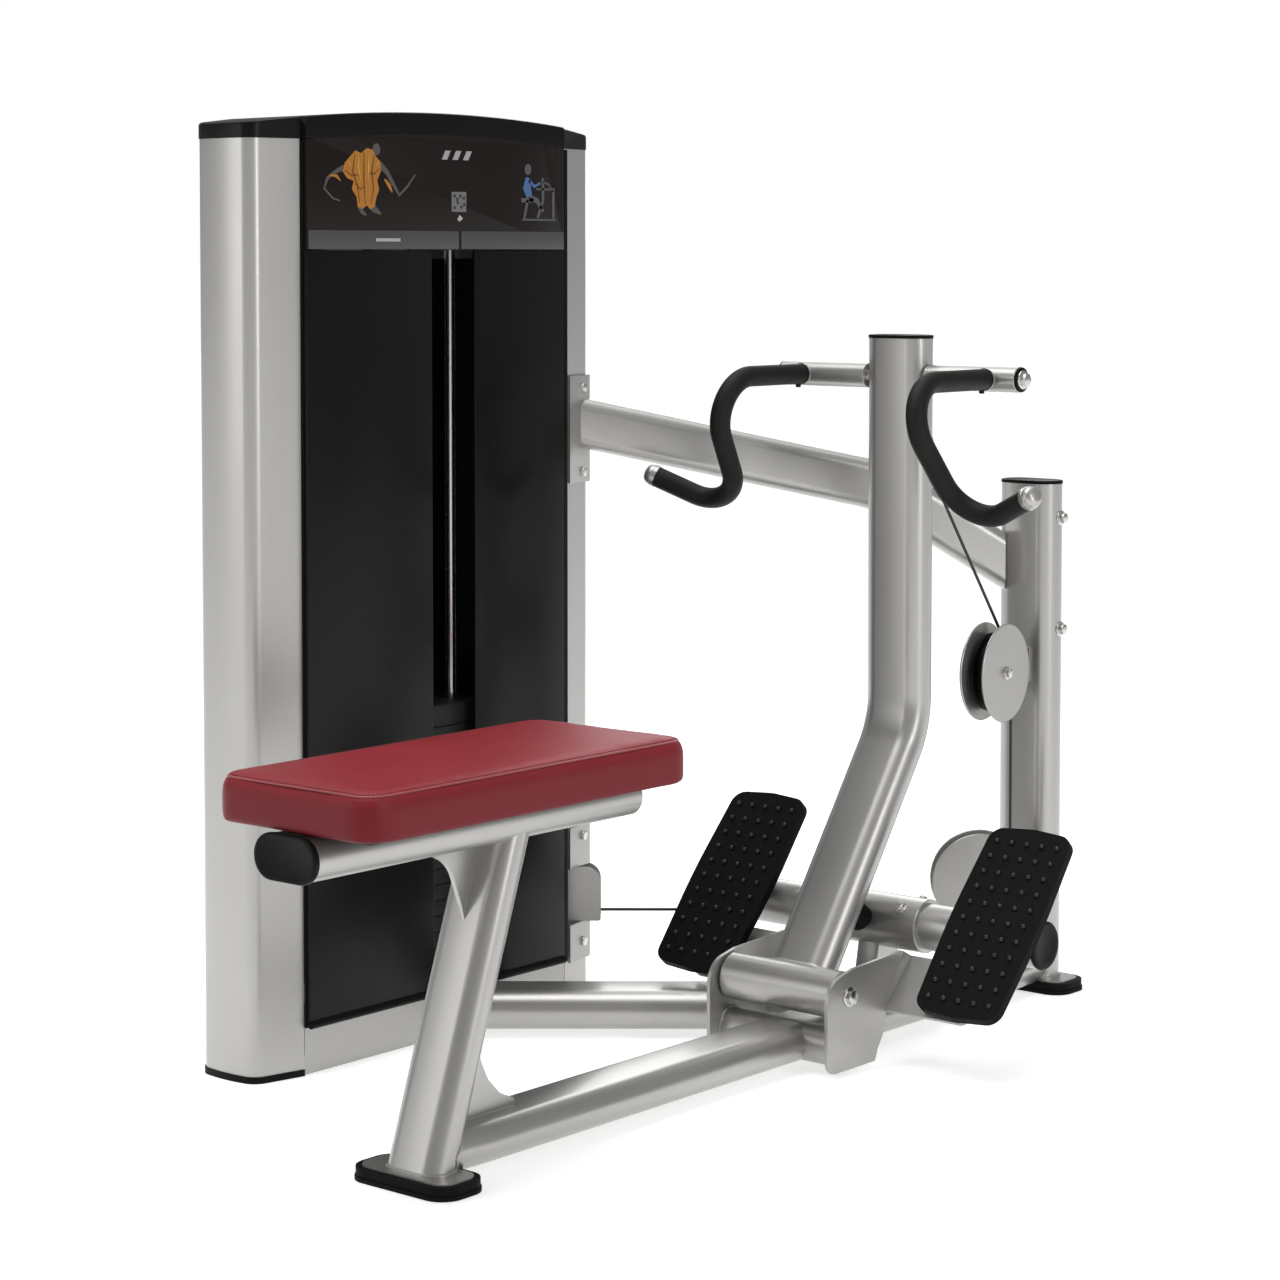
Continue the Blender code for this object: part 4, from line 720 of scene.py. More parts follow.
grey = Finish("plate_paint", Base_Color=(0.43, 0.42, 0.40), Roughness=0.36, Metallic=0.65)
speck = grey.noise(1400.0, 1.0)
grey.set(Base_Color=grey.between(speck, (0.39, 0.385, 0.37), (0.52, 0.51, 0.49)),
         Roughness=0.33 + grey.noise(9.0) * 0.08,
         Normal=grey.bumps(grey.noise(420.0, 2.0), 0.00015, 0.35))
bracket = bmesh.new()
wrap_plate(bracket, 0.858, 1.034)
piece("upper_wrap_plate", bracket, silver, "frame")
corner_way = Vector((0.0022, -0.0105, 0))
put_bolts("wrap_plate_bolts", [(at(0.924, 0.5170, height), corner_way)
                               for height in (0.875, 1.013, 0.095, 0.272)], 0.0085, 0.0075, 0.0115)

# ==== Pivot bracket ============================================================================
# A cross tube through the beam carries two laser-cut side plates, their rear edge turned out as
# a wide flange. The arm's pivot tube turns between them on a bolt with a nut at each side.
PIVOT = at(0.810, 0.0, 0.120)
PLATE_INNER, PLATE_THICK = 0.109, 0.006
pivot_plates = bmesh.new()
sweep(pivot_plates, [at(0.810, -0.110, BEAM_Z), at(0.810, 0.110, BEAM_Z)], circle(0.029, 40))
side_outline = fillet([(0.757, 0.009, 0), (0.878, 0.009, 0), (0.886, 0.028, 0), (0.899, 0.046, 0),
                       (0.906, 0.081, 0), (0.978, 0.152, 0), (0.950, 0.166, 0), (0.822, 0.160, 0),
                       (0.757, 0.146, 0)], [0.020, 0.004, 0.008, 0.004, 0.0, 0.0, 0.008, 0.020, 0.040], 8)
flange_low, flange_high = at(0.906, 0, 0.081), at(0.978, 0, 0.152)
flange_run = flange_high - flange_low
for side in (1, -1):
    slab(pivot_plates, side_outline, PLATE_THICK, at(0, side * (PLATE_INNER + PLATE_THICK / 2), 0),
         X_AXIS, Z_AXIS, edge=0.0012)
    half = flange_run.length / 2
    flange = fillet([(-half, 0, 0), (half, 0, 0), (half, side * 0.152, 0), (-half, side * 0.152, 0)],
                    [0.0, 0.0, 0.012, 0.012], 8)
    slab(pivot_plates, flange, PLATE_THICK,
         (flange_low + flange_high) / 2 + Y_AXIS * side * 0.110, flange_run, Y_AXIS, edge=0.0012)
    sweep(pivot_plates, [at(0.810 + 0.0305 * math.cos(a), side * (PLATE_INNER - 0.001),
                            BEAM_Z + 0.0305 * math.sin(a))
                         for a in [math.tau * k / 40 for k in range(40)]], circle(0.0022, 8), closed=True)
piece("pivot_plates", pivot_plates, grey, "frame", "pivot_bracket")
pin = bmesh.new()
sweep(pin, [PIVOT - Y_AXIS * 0.116, PIVOT + Y_AXIS * 0.116], circle(0.0086, 32))
piece("pivot_bolt_shank", pin, steel, "frame", "pivot_pin")
outer = PLATE_INNER + PLATE_THICK + 0.0016
put_bolts("pivot_bolts", [(PIVOT + Y_AXIS * side * outer, Y_AXIS * side) for side in (1, -1)],
          0.0115, 0.0065, 0.0150)

# ==== Foot rests ===============================================================================
# A round tube across the beam on a short stand, with a collar strapped round its middle by four
# bolts, carries two trays. Each holds a moulded black rubber pad with rows of small round studs.
REST_AXIS, REST_RADIUS, REST_HALF = at(1.045, 0.0, 0.185), 0.036, 0.313
PAD_LOW, PAD_HIGH = at(0.880, 0.0, 0.097), at(1.102, 0.0, 0.348)
PAD_Y, PAD_THICK, TRAY_THICK = (0.177, 0.329), 0.014, 0.006
slope = (PAD_HIGH - PAD_LOW).normalized()
pad_normal = Vector((-slope.z, 0, slope.x))
pad_middle, pad_length = (PAD_LOW + PAD_HIGH) / 2, (PAD_HIGH - PAD_LOW).length


def turned(bm, profile, centre, axis, steps=96, closed=False):
    """A lathe-turned shape: radius and height pairs, spun about an axis through a point."""
    turn = Z_AXIS.rotation_difference(Vector(axis))
    rings = []
    for radius, height in profile:
        count = 1 if radius < 0.000001 else steps
        angles = [math.tau * k / steps for k in range(count)]
        rings.append([bm.verts.new(centre + turn @ Vector((radius * math.cos(a), radius * math.sin(a),
                                                           height)))
                      for a in angles])
    for ring, following in list(zip(rings, rings[1:])) + ([(rings[-1], rings[0])] if closed else []):
        for k in range(steps):
            corners = [ring[k % len(ring)], ring[(k + 1) % len(ring)],
                       following[(k + 1) % len(following)], following[k % len(following)]]
            corners = list(dict.fromkeys(corners))
            if len(corners) > 2:
                bm.faces.new(corners)


def rod(bm, start, end, radius, edge=0.0008, steps=48):
    """A round bar with a small chamfer at each end."""
    length = (end - start).length
    turned(bm, [(0, 0), (radius - edge, 0), (radius, edge), (radius, length - edge),
                (radius - edge, length),
                (0, length)], start, end - start, steps)


def foot_pad_outline(inset):
    """A foot pad's plan: ends a little rounded, sides a little bowed, pulled in all round."""
    half_wide, half_long = (PAD_Y[1] - PAD_Y[0]) / 2 - inset, pad_length / 2 - inset
    bulge, waist = 0.006, 0.0035
    corners = [(-half_wide + waist, -half_long + bulge, 0), (0, -half_long, 0),
               (half_wide - waist, -half_long + bulge, 0),
               (half_wide + waist, 0, 0), (half_wide - waist, half_long - bulge, 0), (0, half_long, 0),
               (-half_wide + waist, half_long - bulge, 0), (-half_wide - waist, 0, 0)]
    return fillet(corners, [0.024, 0.1, 0.024, 1.2] * 2, 10)


rests = bmesh.new()
rod(rests, REST_AXIS - Y_AXIS * (REST_HALF - 0.006), REST_AXIS + Y_AXIS * (REST_HALF - 0.006), REST_RADIUS)
rod(rests, REST_AXIS - Y_AXIS * 0.098, REST_AXIS + Y_AXIS * 0.098, REST_RADIUS + 0.006, 0.0012, 64)
stand = [(-0.042, BEAM_Z + BEAM_THICK / 2 - 0.002, 0), (0.042, BEAM_Z + BEAM_THICK / 2 - 0.002, 0),
         (0.018, 0.185, 0), (-0.018, 0.185, 0)]
slab(rests, stand, 0.040, at(1.045, 0, 0), X_AXIS, Z_AXIS, edge=0.002)
for side in (1, -1):
    middle = pad_middle + Y_AXIS * side * sum(PAD_Y) / 2 - pad_normal * (PAD_THICK + TRAY_THICK)
    along = (REST_AXIS - pad_middle).dot(slope)
    block = fillet(box(along - 0.030, along + 0.030, -0.032, 0.032), 0.004, 4)
    slab(rests, block, 0.027, middle - pad_normal * 0.0135, slope, Y_AXIS, edge=0.0012)
piece("rest_tube", rests, silver, "frame", "footrest_tube")
put_bolts("collar_bolts", [(REST_AXIS + Vector((x, y, 0.0300)), Vector((x, 0, 0.0300)))
                           for y in (0.065, -0.065) for x in (-0.0300, 0.0300)],
          0.0075, 0.006, 0.0100, bevel=0.0006)
for side, word in ((1, "left"), (-1, "right")):
    end_cap = bmesh.new()
    turned(end_cap, [(0, 0), (REST_RADIUS + 0.001, 0), (REST_RADIUS + 0.001, 0.0035),
                     (REST_RADIUS - 0.002, 0.0062),
                     (REST_RADIUS - 0.010, 0.0066), (REST_RADIUS - 0.013, 0.0056), (0, 0.0056)],
           REST_AXIS + Y_AXIS * side * (REST_HALF - 0.006), Y_AXIS * side, 64)
    piece("rest_cap_" + word, end_cap, plastic, "frame", "footrest_cap_" + word)
    centre = pad_middle + Y_AXIS * side * sum(PAD_Y) / 2
    tray = bmesh.new()
    slab(tray, foot_pad_outline(0.005), TRAY_THICK, centre - pad_normal * (PAD_THICK + TRAY_THICK / 2),
         Y_AXIS, slope, edge=0.0010)
    piece("rest_tray_" + word, tray, grey, "frame", "foot_plate_" + word)
    sole = bmesh.new()
    slab(sole, foot_pad_outline(0.0), PAD_THICK, centre - pad_normal * PAD_THICK / 2, Y_AXIS, slope,
         edge=0.0035, segments=4)
    piece("rest_pad_" + word, sole, rubber, "frame", "foot_pad_" + word)
# The studs are the pad's rubber made glossier and painted lighter: the gloss is real, the lighter colour is a
# painted highlight on each stud.
stud_rubber_painted_highlight = Finish("stud_rubber_painted_highlight", Base_Color=(0.020, 0.020, 0.020), Roughness=0.36,
                     Specular_IOR_Level=0.5)
stud_rubber_painted_highlight.set(Roughness=0.30 + stud_rubber_painted_highlight.noise(90.0) * 0.12)
stud = Recipe("studs", Wide="Float", Long="Float", Columns="Int", Rows="Int", Radius="Float",
              Height="Float")
field = stud.add("GeometryNodeMeshGrid", {}, {"Size X": stud["Wide"], "Size Y": stud["Long"],
                                             "Vertices X": stud["Columns"], "Vertices Y": stud["Rows"]})
dome = stud.add("GeometryNodeMeshCone", {"fill_type": "NGON"},
                {"Vertices": 14, "Radius Bottom": stud["Radius"], "Depth": stud["Height"],
                 "Radius Top": stud.add("ShaderNodeMath", {"operation": "MULTIPLY"},
                                        {0: stud["Radius"], 1: 0.40})})
dots = stud.add("GeometryNodeInstanceOnPoints", {}, {"Points": field, "Instance": dome})
stud.end(dots)
for side, word in ((1, "left"), (-1, "right")):
    centre = pad_middle + Y_AXIS * side * sum(PAD_Y) / 2
    frame_of_pad = Matrix((-Y_AXIS, slope, pad_normal)).transposed().to_4x4()
    studs = stud.make("rest_studs_" + word, stud_rubber_painted_highlight, bpy.data.meshes.new("seed"),
                      Matrix.Translation(centre) @ frame_of_pad,
                      Wide=0.108, Long=0.278, Columns=5, Rows=11, Radius=0.0055, Height=0.0048)
    fit(studs, "frame", "black_rubber")
stop = bmesh.new()
rod(stop, at(1.0, 0, 0.1907), at(0.9506, 0, 0.2259), 0.021, 0.003)
piece("arm_stop", stop, rubber, "frame", "arm_bumper")

# ==== Cable pulleys and their guards ===========================================================
# Turned black pulleys on bolts between pairs of round steel guard discs, which keep the cable in
# its groove. The upper pair's far disc is strapped to the upright, the lower pair stands low down.
CABLE_RADIUS, CABLE_TURN, UPPER_TURN, TOWER_TURN = 0.0025, 0.0500, 0.0580, 0.0360
GUARD_RADIUS, GUARD_GAP, GUARD_THICK = 0.0805, 0.0180, 0.0040
UPPER_YAW, LOWER_YAW = math.radians(5.5), math.radians(-50.0)
UPPER_PULLEY, LOWER_PULLEY = at(1.3343, -0.0256, 0.548), at(1.360, 0.018, 0.1946)
STACK, TOP_PULLEY_Z = at(0.578, 0.5703, 0.0), 1.325


def axle_way(yaw):
    """The way a pulley's axle points, when its plane is turned by yaw."""
    return Vector((-math.sin(yaw), math.cos(yaw), 0.0))


def plane_way(yaw):
    """The level way along a pulley's plane."""
    return Vector((math.cos(yaw), math.sin(yaw), 0.0))


TOWER_PULLEY = LOWER_PULLEY - plane_way(LOWER_YAW) * 0.685 - Z_AXIS * (CABLE_TURN - TOWER_TURN)
CLIMB_X = (TOWER_PULLEY - plane_way(LOWER_YAW) * TOWER_TURN).x


def make_pulley(node, centre, yaw, turn):
    """A turned pulley with a bored hub and a groove whose cable runs at radius turn."""
    hub, groove, rim, wide = 0.0062, turn - 0.0035, turn + 0.0060, 0.0115
    profile = [(hub, wide), (0.0150, wide), (0.0165, wide - 0.0010), (0.0180, wide - 0.0040),
               (rim - 0.0130, wide - 0.0040), (rim - 0.0110, wide - 0.0015), (rim - 0.0015, wide - 0.0015),
               (rim, wide - 0.0030), (rim - 0.001, 0.0062), (groove + 0.0012, 0.0030), (groove, 0.0016),
               (groove, -0.0016), (groove + 0.0012, -0.0030), (rim - 0.001, -0.0062), (rim, 0.0030 - wide),
               (rim - 0.0015, 0.0015 - wide), (rim - 0.0110, 0.0015 - wide), (rim - 0.0130, 0.0040 - wide),
               (0.0180, 0.0040 - wide), (0.0165, 0.0010 - wide), (0.0150, -wide), (hub, -wide)]
    shape = bmesh.new()
    turned(shape, profile, centre, axle_way(yaw), 96, closed=True)
    piece(node + "_wheel", shape, plastic, node, node)


make_pulley("upper_pulley", UPPER_PULLEY, UPPER_YAW, UPPER_TURN)
make_pulley("lower_pulley", LOWER_PULLEY, LOWER_YAW, CABLE_TURN)
make_pulley("tower_pulley", TOWER_PULLEY, LOWER_YAW, TOWER_TURN)
inner_top = Vector((STACK.x + CABLE_TURN, STACK.y, TOP_PULLEY_Z))
outer_top = Vector((CLIMB_X - CABLE_TURN, STACK.y, TOP_PULLEY_Z))
make_pulley("top_pulley_inner", inner_top, 0.0, CABLE_TURN)
make_pulley("top_pulley_outer", outer_top, 0.0, CABLE_TURN)
strap_face = at(UPRIGHT_X - UPRIGHT_THICK / 2, 0, 0).x
guard_profile = [(0, 0), (GUARD_RADIUS - 0.0012, 0), (GUARD_RADIUS, 0.0012),
                 (GUARD_RADIUS, GUARD_THICK - 0.0012), (GUARD_RADIUS - 0.0012, GUARD_THICK),
                 (0, GUARD_THICK)]
guard_bolts = []
for node, centre, yaw in (("upper_pulley_guard", UPPER_PULLEY, UPPER_YAW),
                          ("lower_pulley_guard", LOWER_PULLEY, LOWER_YAW)):
    axle, way = axle_way(yaw), plane_way(yaw)
    guard = bmesh.new()
    for side in (1, -1):
        turned(guard, guard_profile, centre + axle * side * GUARD_GAP, axle * side, 128)
        guard_bolts.append((centre + axle * side * (GUARD_GAP + GUARD_THICK + 0.001), axle * side))
        if yaw > 0 and (axle * side).y > 0:
            cheek = fillet(box(0.030, 0.117, -0.022, 0.022), 0.002, 3)
            slab(guard, cheek, GUARD_THICK, centre + axle * side * (GUARD_GAP + GUARD_THICK / 2), way,
                 Z_AXIS, edge=0.0006)
    rod(guard, centre - axle * 0.0225, centre + axle * 0.0225, 0.0058)
    if yaw > 0:
        strap = fillet(box(0.006, 0.040, -0.030, 0.030), 0.004, 4)
        slab(guard, strap, 0.006, Vector((strap_face - 0.003, centre.y, centre.z)), Y_AXIS, Z_AXIS,
             edge=0.0008)
    else:
        arm_low, arm_high = at(1.418, -0.032, centre.z - 0.030), at(1.4535, 0.028, centre.z + 0.030)
        outline = fillet(box(arm_low.x, arm_high.x, arm_low.y, arm_high.y), 0.003, 3)
        slab(guard, outline, 0.060, Vector((0, 0, centre.z)), edge=0.001)
    piece(node + "_discs", guard, grey, "frame", node)
put_bolts("guard_bolts", guard_bolts, 0.0082, 0.0055, 0.0105, bevel=0.0006)

# ==== Tower pulley fork ========================================================================
# The lowest pulley turns the cable up inside the tower. Its two hood cheeks are welded to a plate
# bent round the tower's corner, which is split where the cable passes through.
fork = bmesh.new()
axle, way = axle_way(LOWER_YAW), plane_way(LOWER_YAW)
hood = fillet(box(-0.030, 0.0560, -0.0506, 0.0394), [0.004, 0.004, 0.027, 0.020], 10)
for side in (1, -1):
    slab(fork, hood, GUARD_THICK, TOWER_PULLEY + axle * side * (GUARD_GAP + GUARD_THICK / 2), way, Z_AXIS,
         edge=0.0010)
rod(fork, TOWER_PULLEY - axle * 0.0205, TOWER_PULLEY + axle * 0.0205, 0.0058)
wrap_plate(fork, 0.066, TOWER_PULLEY.z - 0.052)
wrap_plate(fork, TOWER_PULLEY.z + 0.041, 0.290)
piece("tower_fork", fork, grey, "frame", "tower_pulley_bracket")

# ==== Weight stack =============================================================================
# Black painted steel plates on two bright guide rods, drilled for a selector stem. Fifteen plates
# and a thicker head plate; a pin pushed through the stem sets how many are lifted.
iron = Finish("cast_weight", Base_Color=(0.02, 0.02, 0.02), Roughness=0.5, Metallic=0.3)
iron.set(Roughness=0.45 + iron.noise(80.0) * 0.15, Normal=iron.bumps(iron.noise(500.0, 3.0), 0.0003, 0.5))
WEIGHT_WIDE, WEIGHT_DEEP, WEIGHT_THICK, HEAD_THICK = 0.250, 0.096, 0.0245, 0.034
WEIGHT_PITCH, WEIGHT_BASE = 0.0250, 0.115
pile = Recipe("weight_plates", Plates="Int", Pitch="Float", Size="Vector")
step_up = pile.add("ShaderNodeCombineXYZ", {}, {"Z": pile["Pitch"]})
levels = pile.add("GeometryNodeMeshLine", {}, {"Count": pile["Plates"], "Offset": step_up})
slug = pile.add("GeometryNodeMeshCube", {}, {"Size": pile["Size"]})
plates = pile.add("GeometryNodeInstanceOnPoints", {}, {"Points": levels, "Instance": slug})
pile.end(plates, False)
for node, body, level, count, thick in (("resting_weights", "frame", 0, 13, WEIGHT_THICK),
                                        ("lifted_weight_1", "stack", 13, 1, WEIGHT_THICK),
                                        ("lifted_weight_2", "stack", 14, 1, WEIGHT_THICK),
                                        ("head_plate", "stack", 15, 1, HEAD_THICK)):
    middle = Vector((STACK.x, STACK.y, WEIGHT_BASE + level * WEIGHT_PITCH + thick / 2))
    weights = pile.make(node + "_plates", iron, bpy.data.meshes.new("seed"), Matrix.Translation(middle),
                        0.0020,
                        Plates=count, Pitch=WEIGHT_PITCH, Size=(WEIGHT_WIDE, WEIGHT_DEEP, thick))
    fit(weights, body, "cast_weight", node)
paint(steel, "selector_stem", "selector_pin")
for word, side in (("left", -1), ("right", 1)):
    guide = bmesh.new()
    x = STACK.x + side * 0.0914
    rod(guide, Vector((x, STACK.y, 0.0505)), Vector((x, STACK.y, 1.2546)), 0.0085)
    piece("guide_" + word, guide, steel, "frame", "guide_rod_" + word)

# ==== Tower frame and covers ===================================================================
# A welded box frame carries the stack. Each side wears a tall extruded aluminium cover, bowed a
# little and rounded at its corners, painted silver and standing in a thin black foot trim.
paint(silver, "tower_frame")
COVER_LOW, COVER_HIGH = 0.006, 1.403
for side, word in ((-1, "left"), (1, "right")):
    cover = bmesh.new()
    outer, inner = cover_plan(side, 0.0, steps=16), cover_plan(side, -0.003, steps=16)
    slot_low, slot_high = TOWER_PULLEY.z - 0.0600, TOWER_PULLEY.z + 0.0600
    way_in = [k for k, p in enumerate(outer) if side > 0
              and abs((p - TOWER_PULLEY).dot(axle)) < 0.0235 and (p - TOWER_PULLEY).dot(way) > -0.060]
    levels = [COVER_LOW, COVER_HIGH] if side < 0 else [COVER_LOW, slot_low, slot_high, COVER_HIGH]
    grid = [[(cover.verts.new(Vector((o.x, o.y, z))), cover.verts.new(Vector((i.x, i.y, z))))
             for o, i in zip(outer, inner)]
            for z in levels]
    count = len(outer)
    for row, (lower, upper_row) in enumerate(zip(grid, grid[1:])):
        through = {k for k in range(-1, count) if row == 1 and (k in way_in or k + 1 in way_in)}
        for k in range(count - 1):
            a, b, c, d = lower[k], lower[k + 1], upper_row[k + 1], upper_row[k]
            if k not in through:
                cover.faces.new((a[0], b[0], c[0], d[0]))
                cover.faces.new((a[1], b[1], c[1], d[1]))
            else:
                cover.faces.new((a[0], a[1], b[1], b[0]))
                cover.faces.new((d[0], d[1], c[1], c[0]))
                if k - 1 not in through:
                    cover.faces.new((a[0], a[1], d[1], d[0]))
                if k + 1 not in through:
                    cover.faces.new((b[0], b[1], c[1], c[0]))
        for k in (0, count - 1):
            if min(k, count - 2) not in through:
                cover.faces.new((lower[k][0], lower[k][1], upper_row[k][1], upper_row[k][0]))
    for row in (grid[0], grid[-1]):
        for k in range(count - 1):
            cover.faces.new((row[k][0], row[k + 1][0], row[k + 1][1], row[k][1]))
    piece("cover_" + word, cover, silver, "frame", "side_cover_" + word)
    trim_strip = bmesh.new()
    outer, inner = cover_plan(side, 0.0016, steps=12), cover_plan(side, -0.0022, steps=12)
    slab(trim_strip, outer + list(reversed(inner)), 0.0100, Vector((0, 0, 0.00500)))
    piece("cover_foot_" + word, trim_strip, plastic, "frame")

# ==== Dark panels ==============================================================================
# Two smoked black sheets close the tower's front, with an upright gap between them that shows a
# guide rod. Each has a rolled rubber lip at the bottom; a plain black sheet closes the back.
panel = Finish("smoked_panel", Base_Color=(0.0055, 0.0055, 0.0050), Roughness=0.26, Specular_IOR_Level=0.18)
panel.set(Roughness=0.24 + panel.noise(3.0) * 0.06, Normal=panel.bumps(panel.noise(160.0), 0.0001, 0.2))
FASCIA_X, FASCIA_Y, PANEL_Z, PANEL_GAP_X = (0.283, 0.860), 0.495, (0.078, 1.2385), (0.5515, 0.648)
paint(panel, "back_panel")
for word, x_from, x_to in (("left", FASCIA_X[0], PANEL_GAP_X[0]), ("right", PANEL_GAP_X[1], FASCIA_X[1])):
    sheet = bmesh.new()
    wide, tall = x_to - x_from, PANEL_Z[1] - PANEL_Z[0] - 0.003
    slab(sheet, oblong(wide, tall), 0.006, at((x_from + x_to) / 2, FASCIA_Y + 0.004, PANEL_Z[1] - tall / 2),
         X_AXIS, Z_AXIS, edge=0.0012)
    piece("front_sheet_" + word, sheet, panel, "frame", "front_panel_" + word)
    lip = bmesh.new()
    rod(lip, at(x_from, FASCIA_Y + 0.0015, PANEL_Z[0]), at(x_to, FASCIA_Y + 0.0015, PANEL_Z[0]), 0.006,
        0.001, 32)
    fit(into_scene("front_lip_" + word, lip, plastic), "frame", "black_rubber")

# Black strips behind the seams between the front sheets and the side covers: painted shade, a dark sheet
# filling the seams where only shadow shows.
seam_shade_strips = bmesh.new()
for x in (FASCIA_X[0] + 0.006, FASCIA_X[1] + 0.010):
    slab(seam_shade_strips, oblong(0.0136, 1.328), 0.0060,
         at(x, 0.5060, 0.737), X_AXIS, Z_AXIS, edge=0.0006)
piece("panel_seam_painted_shade", seam_shade_strips, plastic, "frame")

# ==== Tower cap and placard ====================================================================
# A black moulded cap with a shallow arched top, seamed where its front bulges ahead of the side
# pieces. Below it a dark printed placard shows the exercise, over two grey instruction strips.
CAP_CROWN, CAP_RADIUS, PLACARD_BASE, PLACARD_DROP = 1.450, 3.10, 1.2392, 0.034


def crown(x, drop=0.0):
    """The height of the shallow arch at a distance along the tower."""
    return CAP_CROWN - drop - (CAP_RADIUS - math.sqrt(CAP_RADIUS ** 2 - (x - TOWER_X) ** 2))


cap_plan = [(FASCIA_X[0] + (FASCIA_X[1] - FASCIA_X[0]) * k / 24, FASCIA_Y) for k in range(25)]
cap_plan += [(p.x - SEAT_FOOT.x, p.y - SEAT_FOOT.y)
             for p in cover_plan(1, 0.0012, steps=14) + list(reversed(cover_plan(-1, 0.0012, steps=14)))]
cap, rings = bmesh.new(), []
for inset, below_crown in ((0.0, None), (0.0, 0.0040), (0.0012, 0.0012), (0.0040, 0.0)):
    ring = []
    for x, y in cap_plan:
        away = Vector((x - TOWER_X, (y - TOWER_Y) * 3.0)).normalized() * inset
        z = COVER_HIGH + 0.0004 if below_crown is None else crown(x - away.x) - below_crown
        ring.append(cap.verts.new(at(x - away.x, y - away.y, z)))
    rings.append(ring)
skin(cap, rings)
cap.faces.new(rings[0])
bmesh.ops.triangulate(cap, faces=[cap.faces.new(rings[-1])])
cap_finish = Finish("cap_plastic", "black_plastic", Base_Color=(0.004, 0.004, 0.004), Roughness=0.34,
                    Specular_IOR_Level=0.18)
cap_finish.set(Normal=cap_finish.bumps(cap_finish.noise(1200.0, 2.0), 0.0002, 0.4))
piece("tower_cap", cap, cap_finish, "frame", "top_cap", crease=28)

print_ground = Finish("placard", Base_Color=(0.015, 0.010, 0.009), Roughness=0.30, Specular_IOR_Level=0.18)
print_ground.set(Roughness=0.26 + print_ground.noise(5.0) * 0.08)
board = bmesh.new()
board_left, board_right = FASCIA_X[0] + 0.002, FASCIA_X[1] - 0.002
outline = [(board_left, PLACARD_BASE), (board_right, PLACARD_BASE)]
outline += [(x, crown(x, PLACARD_DROP)) for x in [board_right + (board_left - board_right) * k / 32
                                                 for k in range(33)]]
slab(board, outline, 0.0100, at(0, FASCIA_Y + 0.0045, 0), X_AXIS, Z_AXIS, edge=0.0008)
piece("placard_board", board, print_ground, "frame", "placard")


def flat_print(name, colour, shapes, lift):
    """Thin printed film on the placard: closed outlines in the placard's plane."""
    ink = Finish(name + "_ink", "placard", Base_Color=colour, Roughness=0.4)
    film = bmesh.new()
    for outline in shapes:
        slab(film, outline, 0.0004, at(0, FASCIA_Y - 0.0005 - lift, 0), X_AXIS, Z_AXIS)
    piece(name, film, ink, "frame")


def disc(x, z, rx, rz, steps=28):
    """A filled ellipse for the printed art."""
    return [(x + rx * math.cos(math.tau * k / steps), z + rz * math.sin(math.tau * k / steps))
            for k in range(steps)]


def limb(*points):
    """A stroke through some points, each with the stroke's width there."""
    line = [Vector((x, z, 0)) for x, z, _ in points]
    left, right = [], []
    for k, point in enumerate(line):
        ahead = (line[min(k + 1, len(line) - 1)] - line[max(k - 1, 0)]).normalized()
        across = Vector((-ahead.y, ahead.x, 0)) * points[k][2] / 2
        left.append(point + across)
        right.append(point - across)
    return [(p.x, p.y) for p in left + list(reversed(right))]


strip_grey = Finish("strip_grey", "placard", Base_Color=(0.10, 0.10, 0.10), Roughness=0.35, Metallic=0.2)
for word, x_from, x_to in (("left", 0.286, 0.609), ("right", 0.615, 0.857)):
    strip = bmesh.new()
    slab(strip, oblong(x_to - x_from, 0.028), 0.0016,
         at((x_from + x_to) / 2, FASCIA_Y - 0.0010, 1.254), X_AXIS, Z_AXIS, edge=0.0005)
    piece("strip_" + word, strip, strip_grey, "frame")
flat_print("figure_outline", (0.11, 0.10, 0.095), [
    limb((0.366, 1.364, 0.009), (0.344, 1.356, 0.006), (0.325, 1.345, 0.005), (0.319, 1.330, 0.004),
         (0.336, 1.316, 0.003), (0.352, 1.312, 0.002)),
    limb((0.436, 1.368, 0.011), (0.452, 1.356, 0.008), (0.464, 1.340, 0.007), (0.478, 1.322, 0.005),
         (0.496, 1.336, 0.004), (0.513, 1.354, 0.002)),
    limb((0.414, 1.312, 0.016), (0.424, 1.300, 0.011), (0.438, 1.293, 0.003)),
    limb((0.392, 1.306, 0.010), (0.398, 1.296, 0.007), (0.407, 1.291, 0.003)),
    disc(0.429, 1.3905, 0.0080, 0.0090)], 0.0002)
flat_print("muscle_torso", (0.62, 0.25, 0.02), [
    [(0.372, 1.378), (0.384, 1.388), (0.396, 1.384), (0.408, 1.392), (0.420, 1.390), (0.427, 1.380),
     (0.437, 1.372), (0.438, 1.358), (0.430, 1.344), (0.434, 1.330), (0.428, 1.318), (0.424, 1.304),
     (0.414, 1.300), (0.408, 1.306), (0.398, 1.300), (0.388, 1.304), (0.386, 1.318), (0.376, 1.330),
     (0.380, 1.342), (0.366, 1.346), (0.357, 1.356), (0.362, 1.370)],
    limb((0.446, 1.346, 0.003), (0.456, 1.336, 0.007), (0.462, 1.326, 0.002)),
    limb((0.330, 1.350, 0.002), (0.344, 1.349, 0.005), (0.352, 1.342, 0.002))], 0.0006)
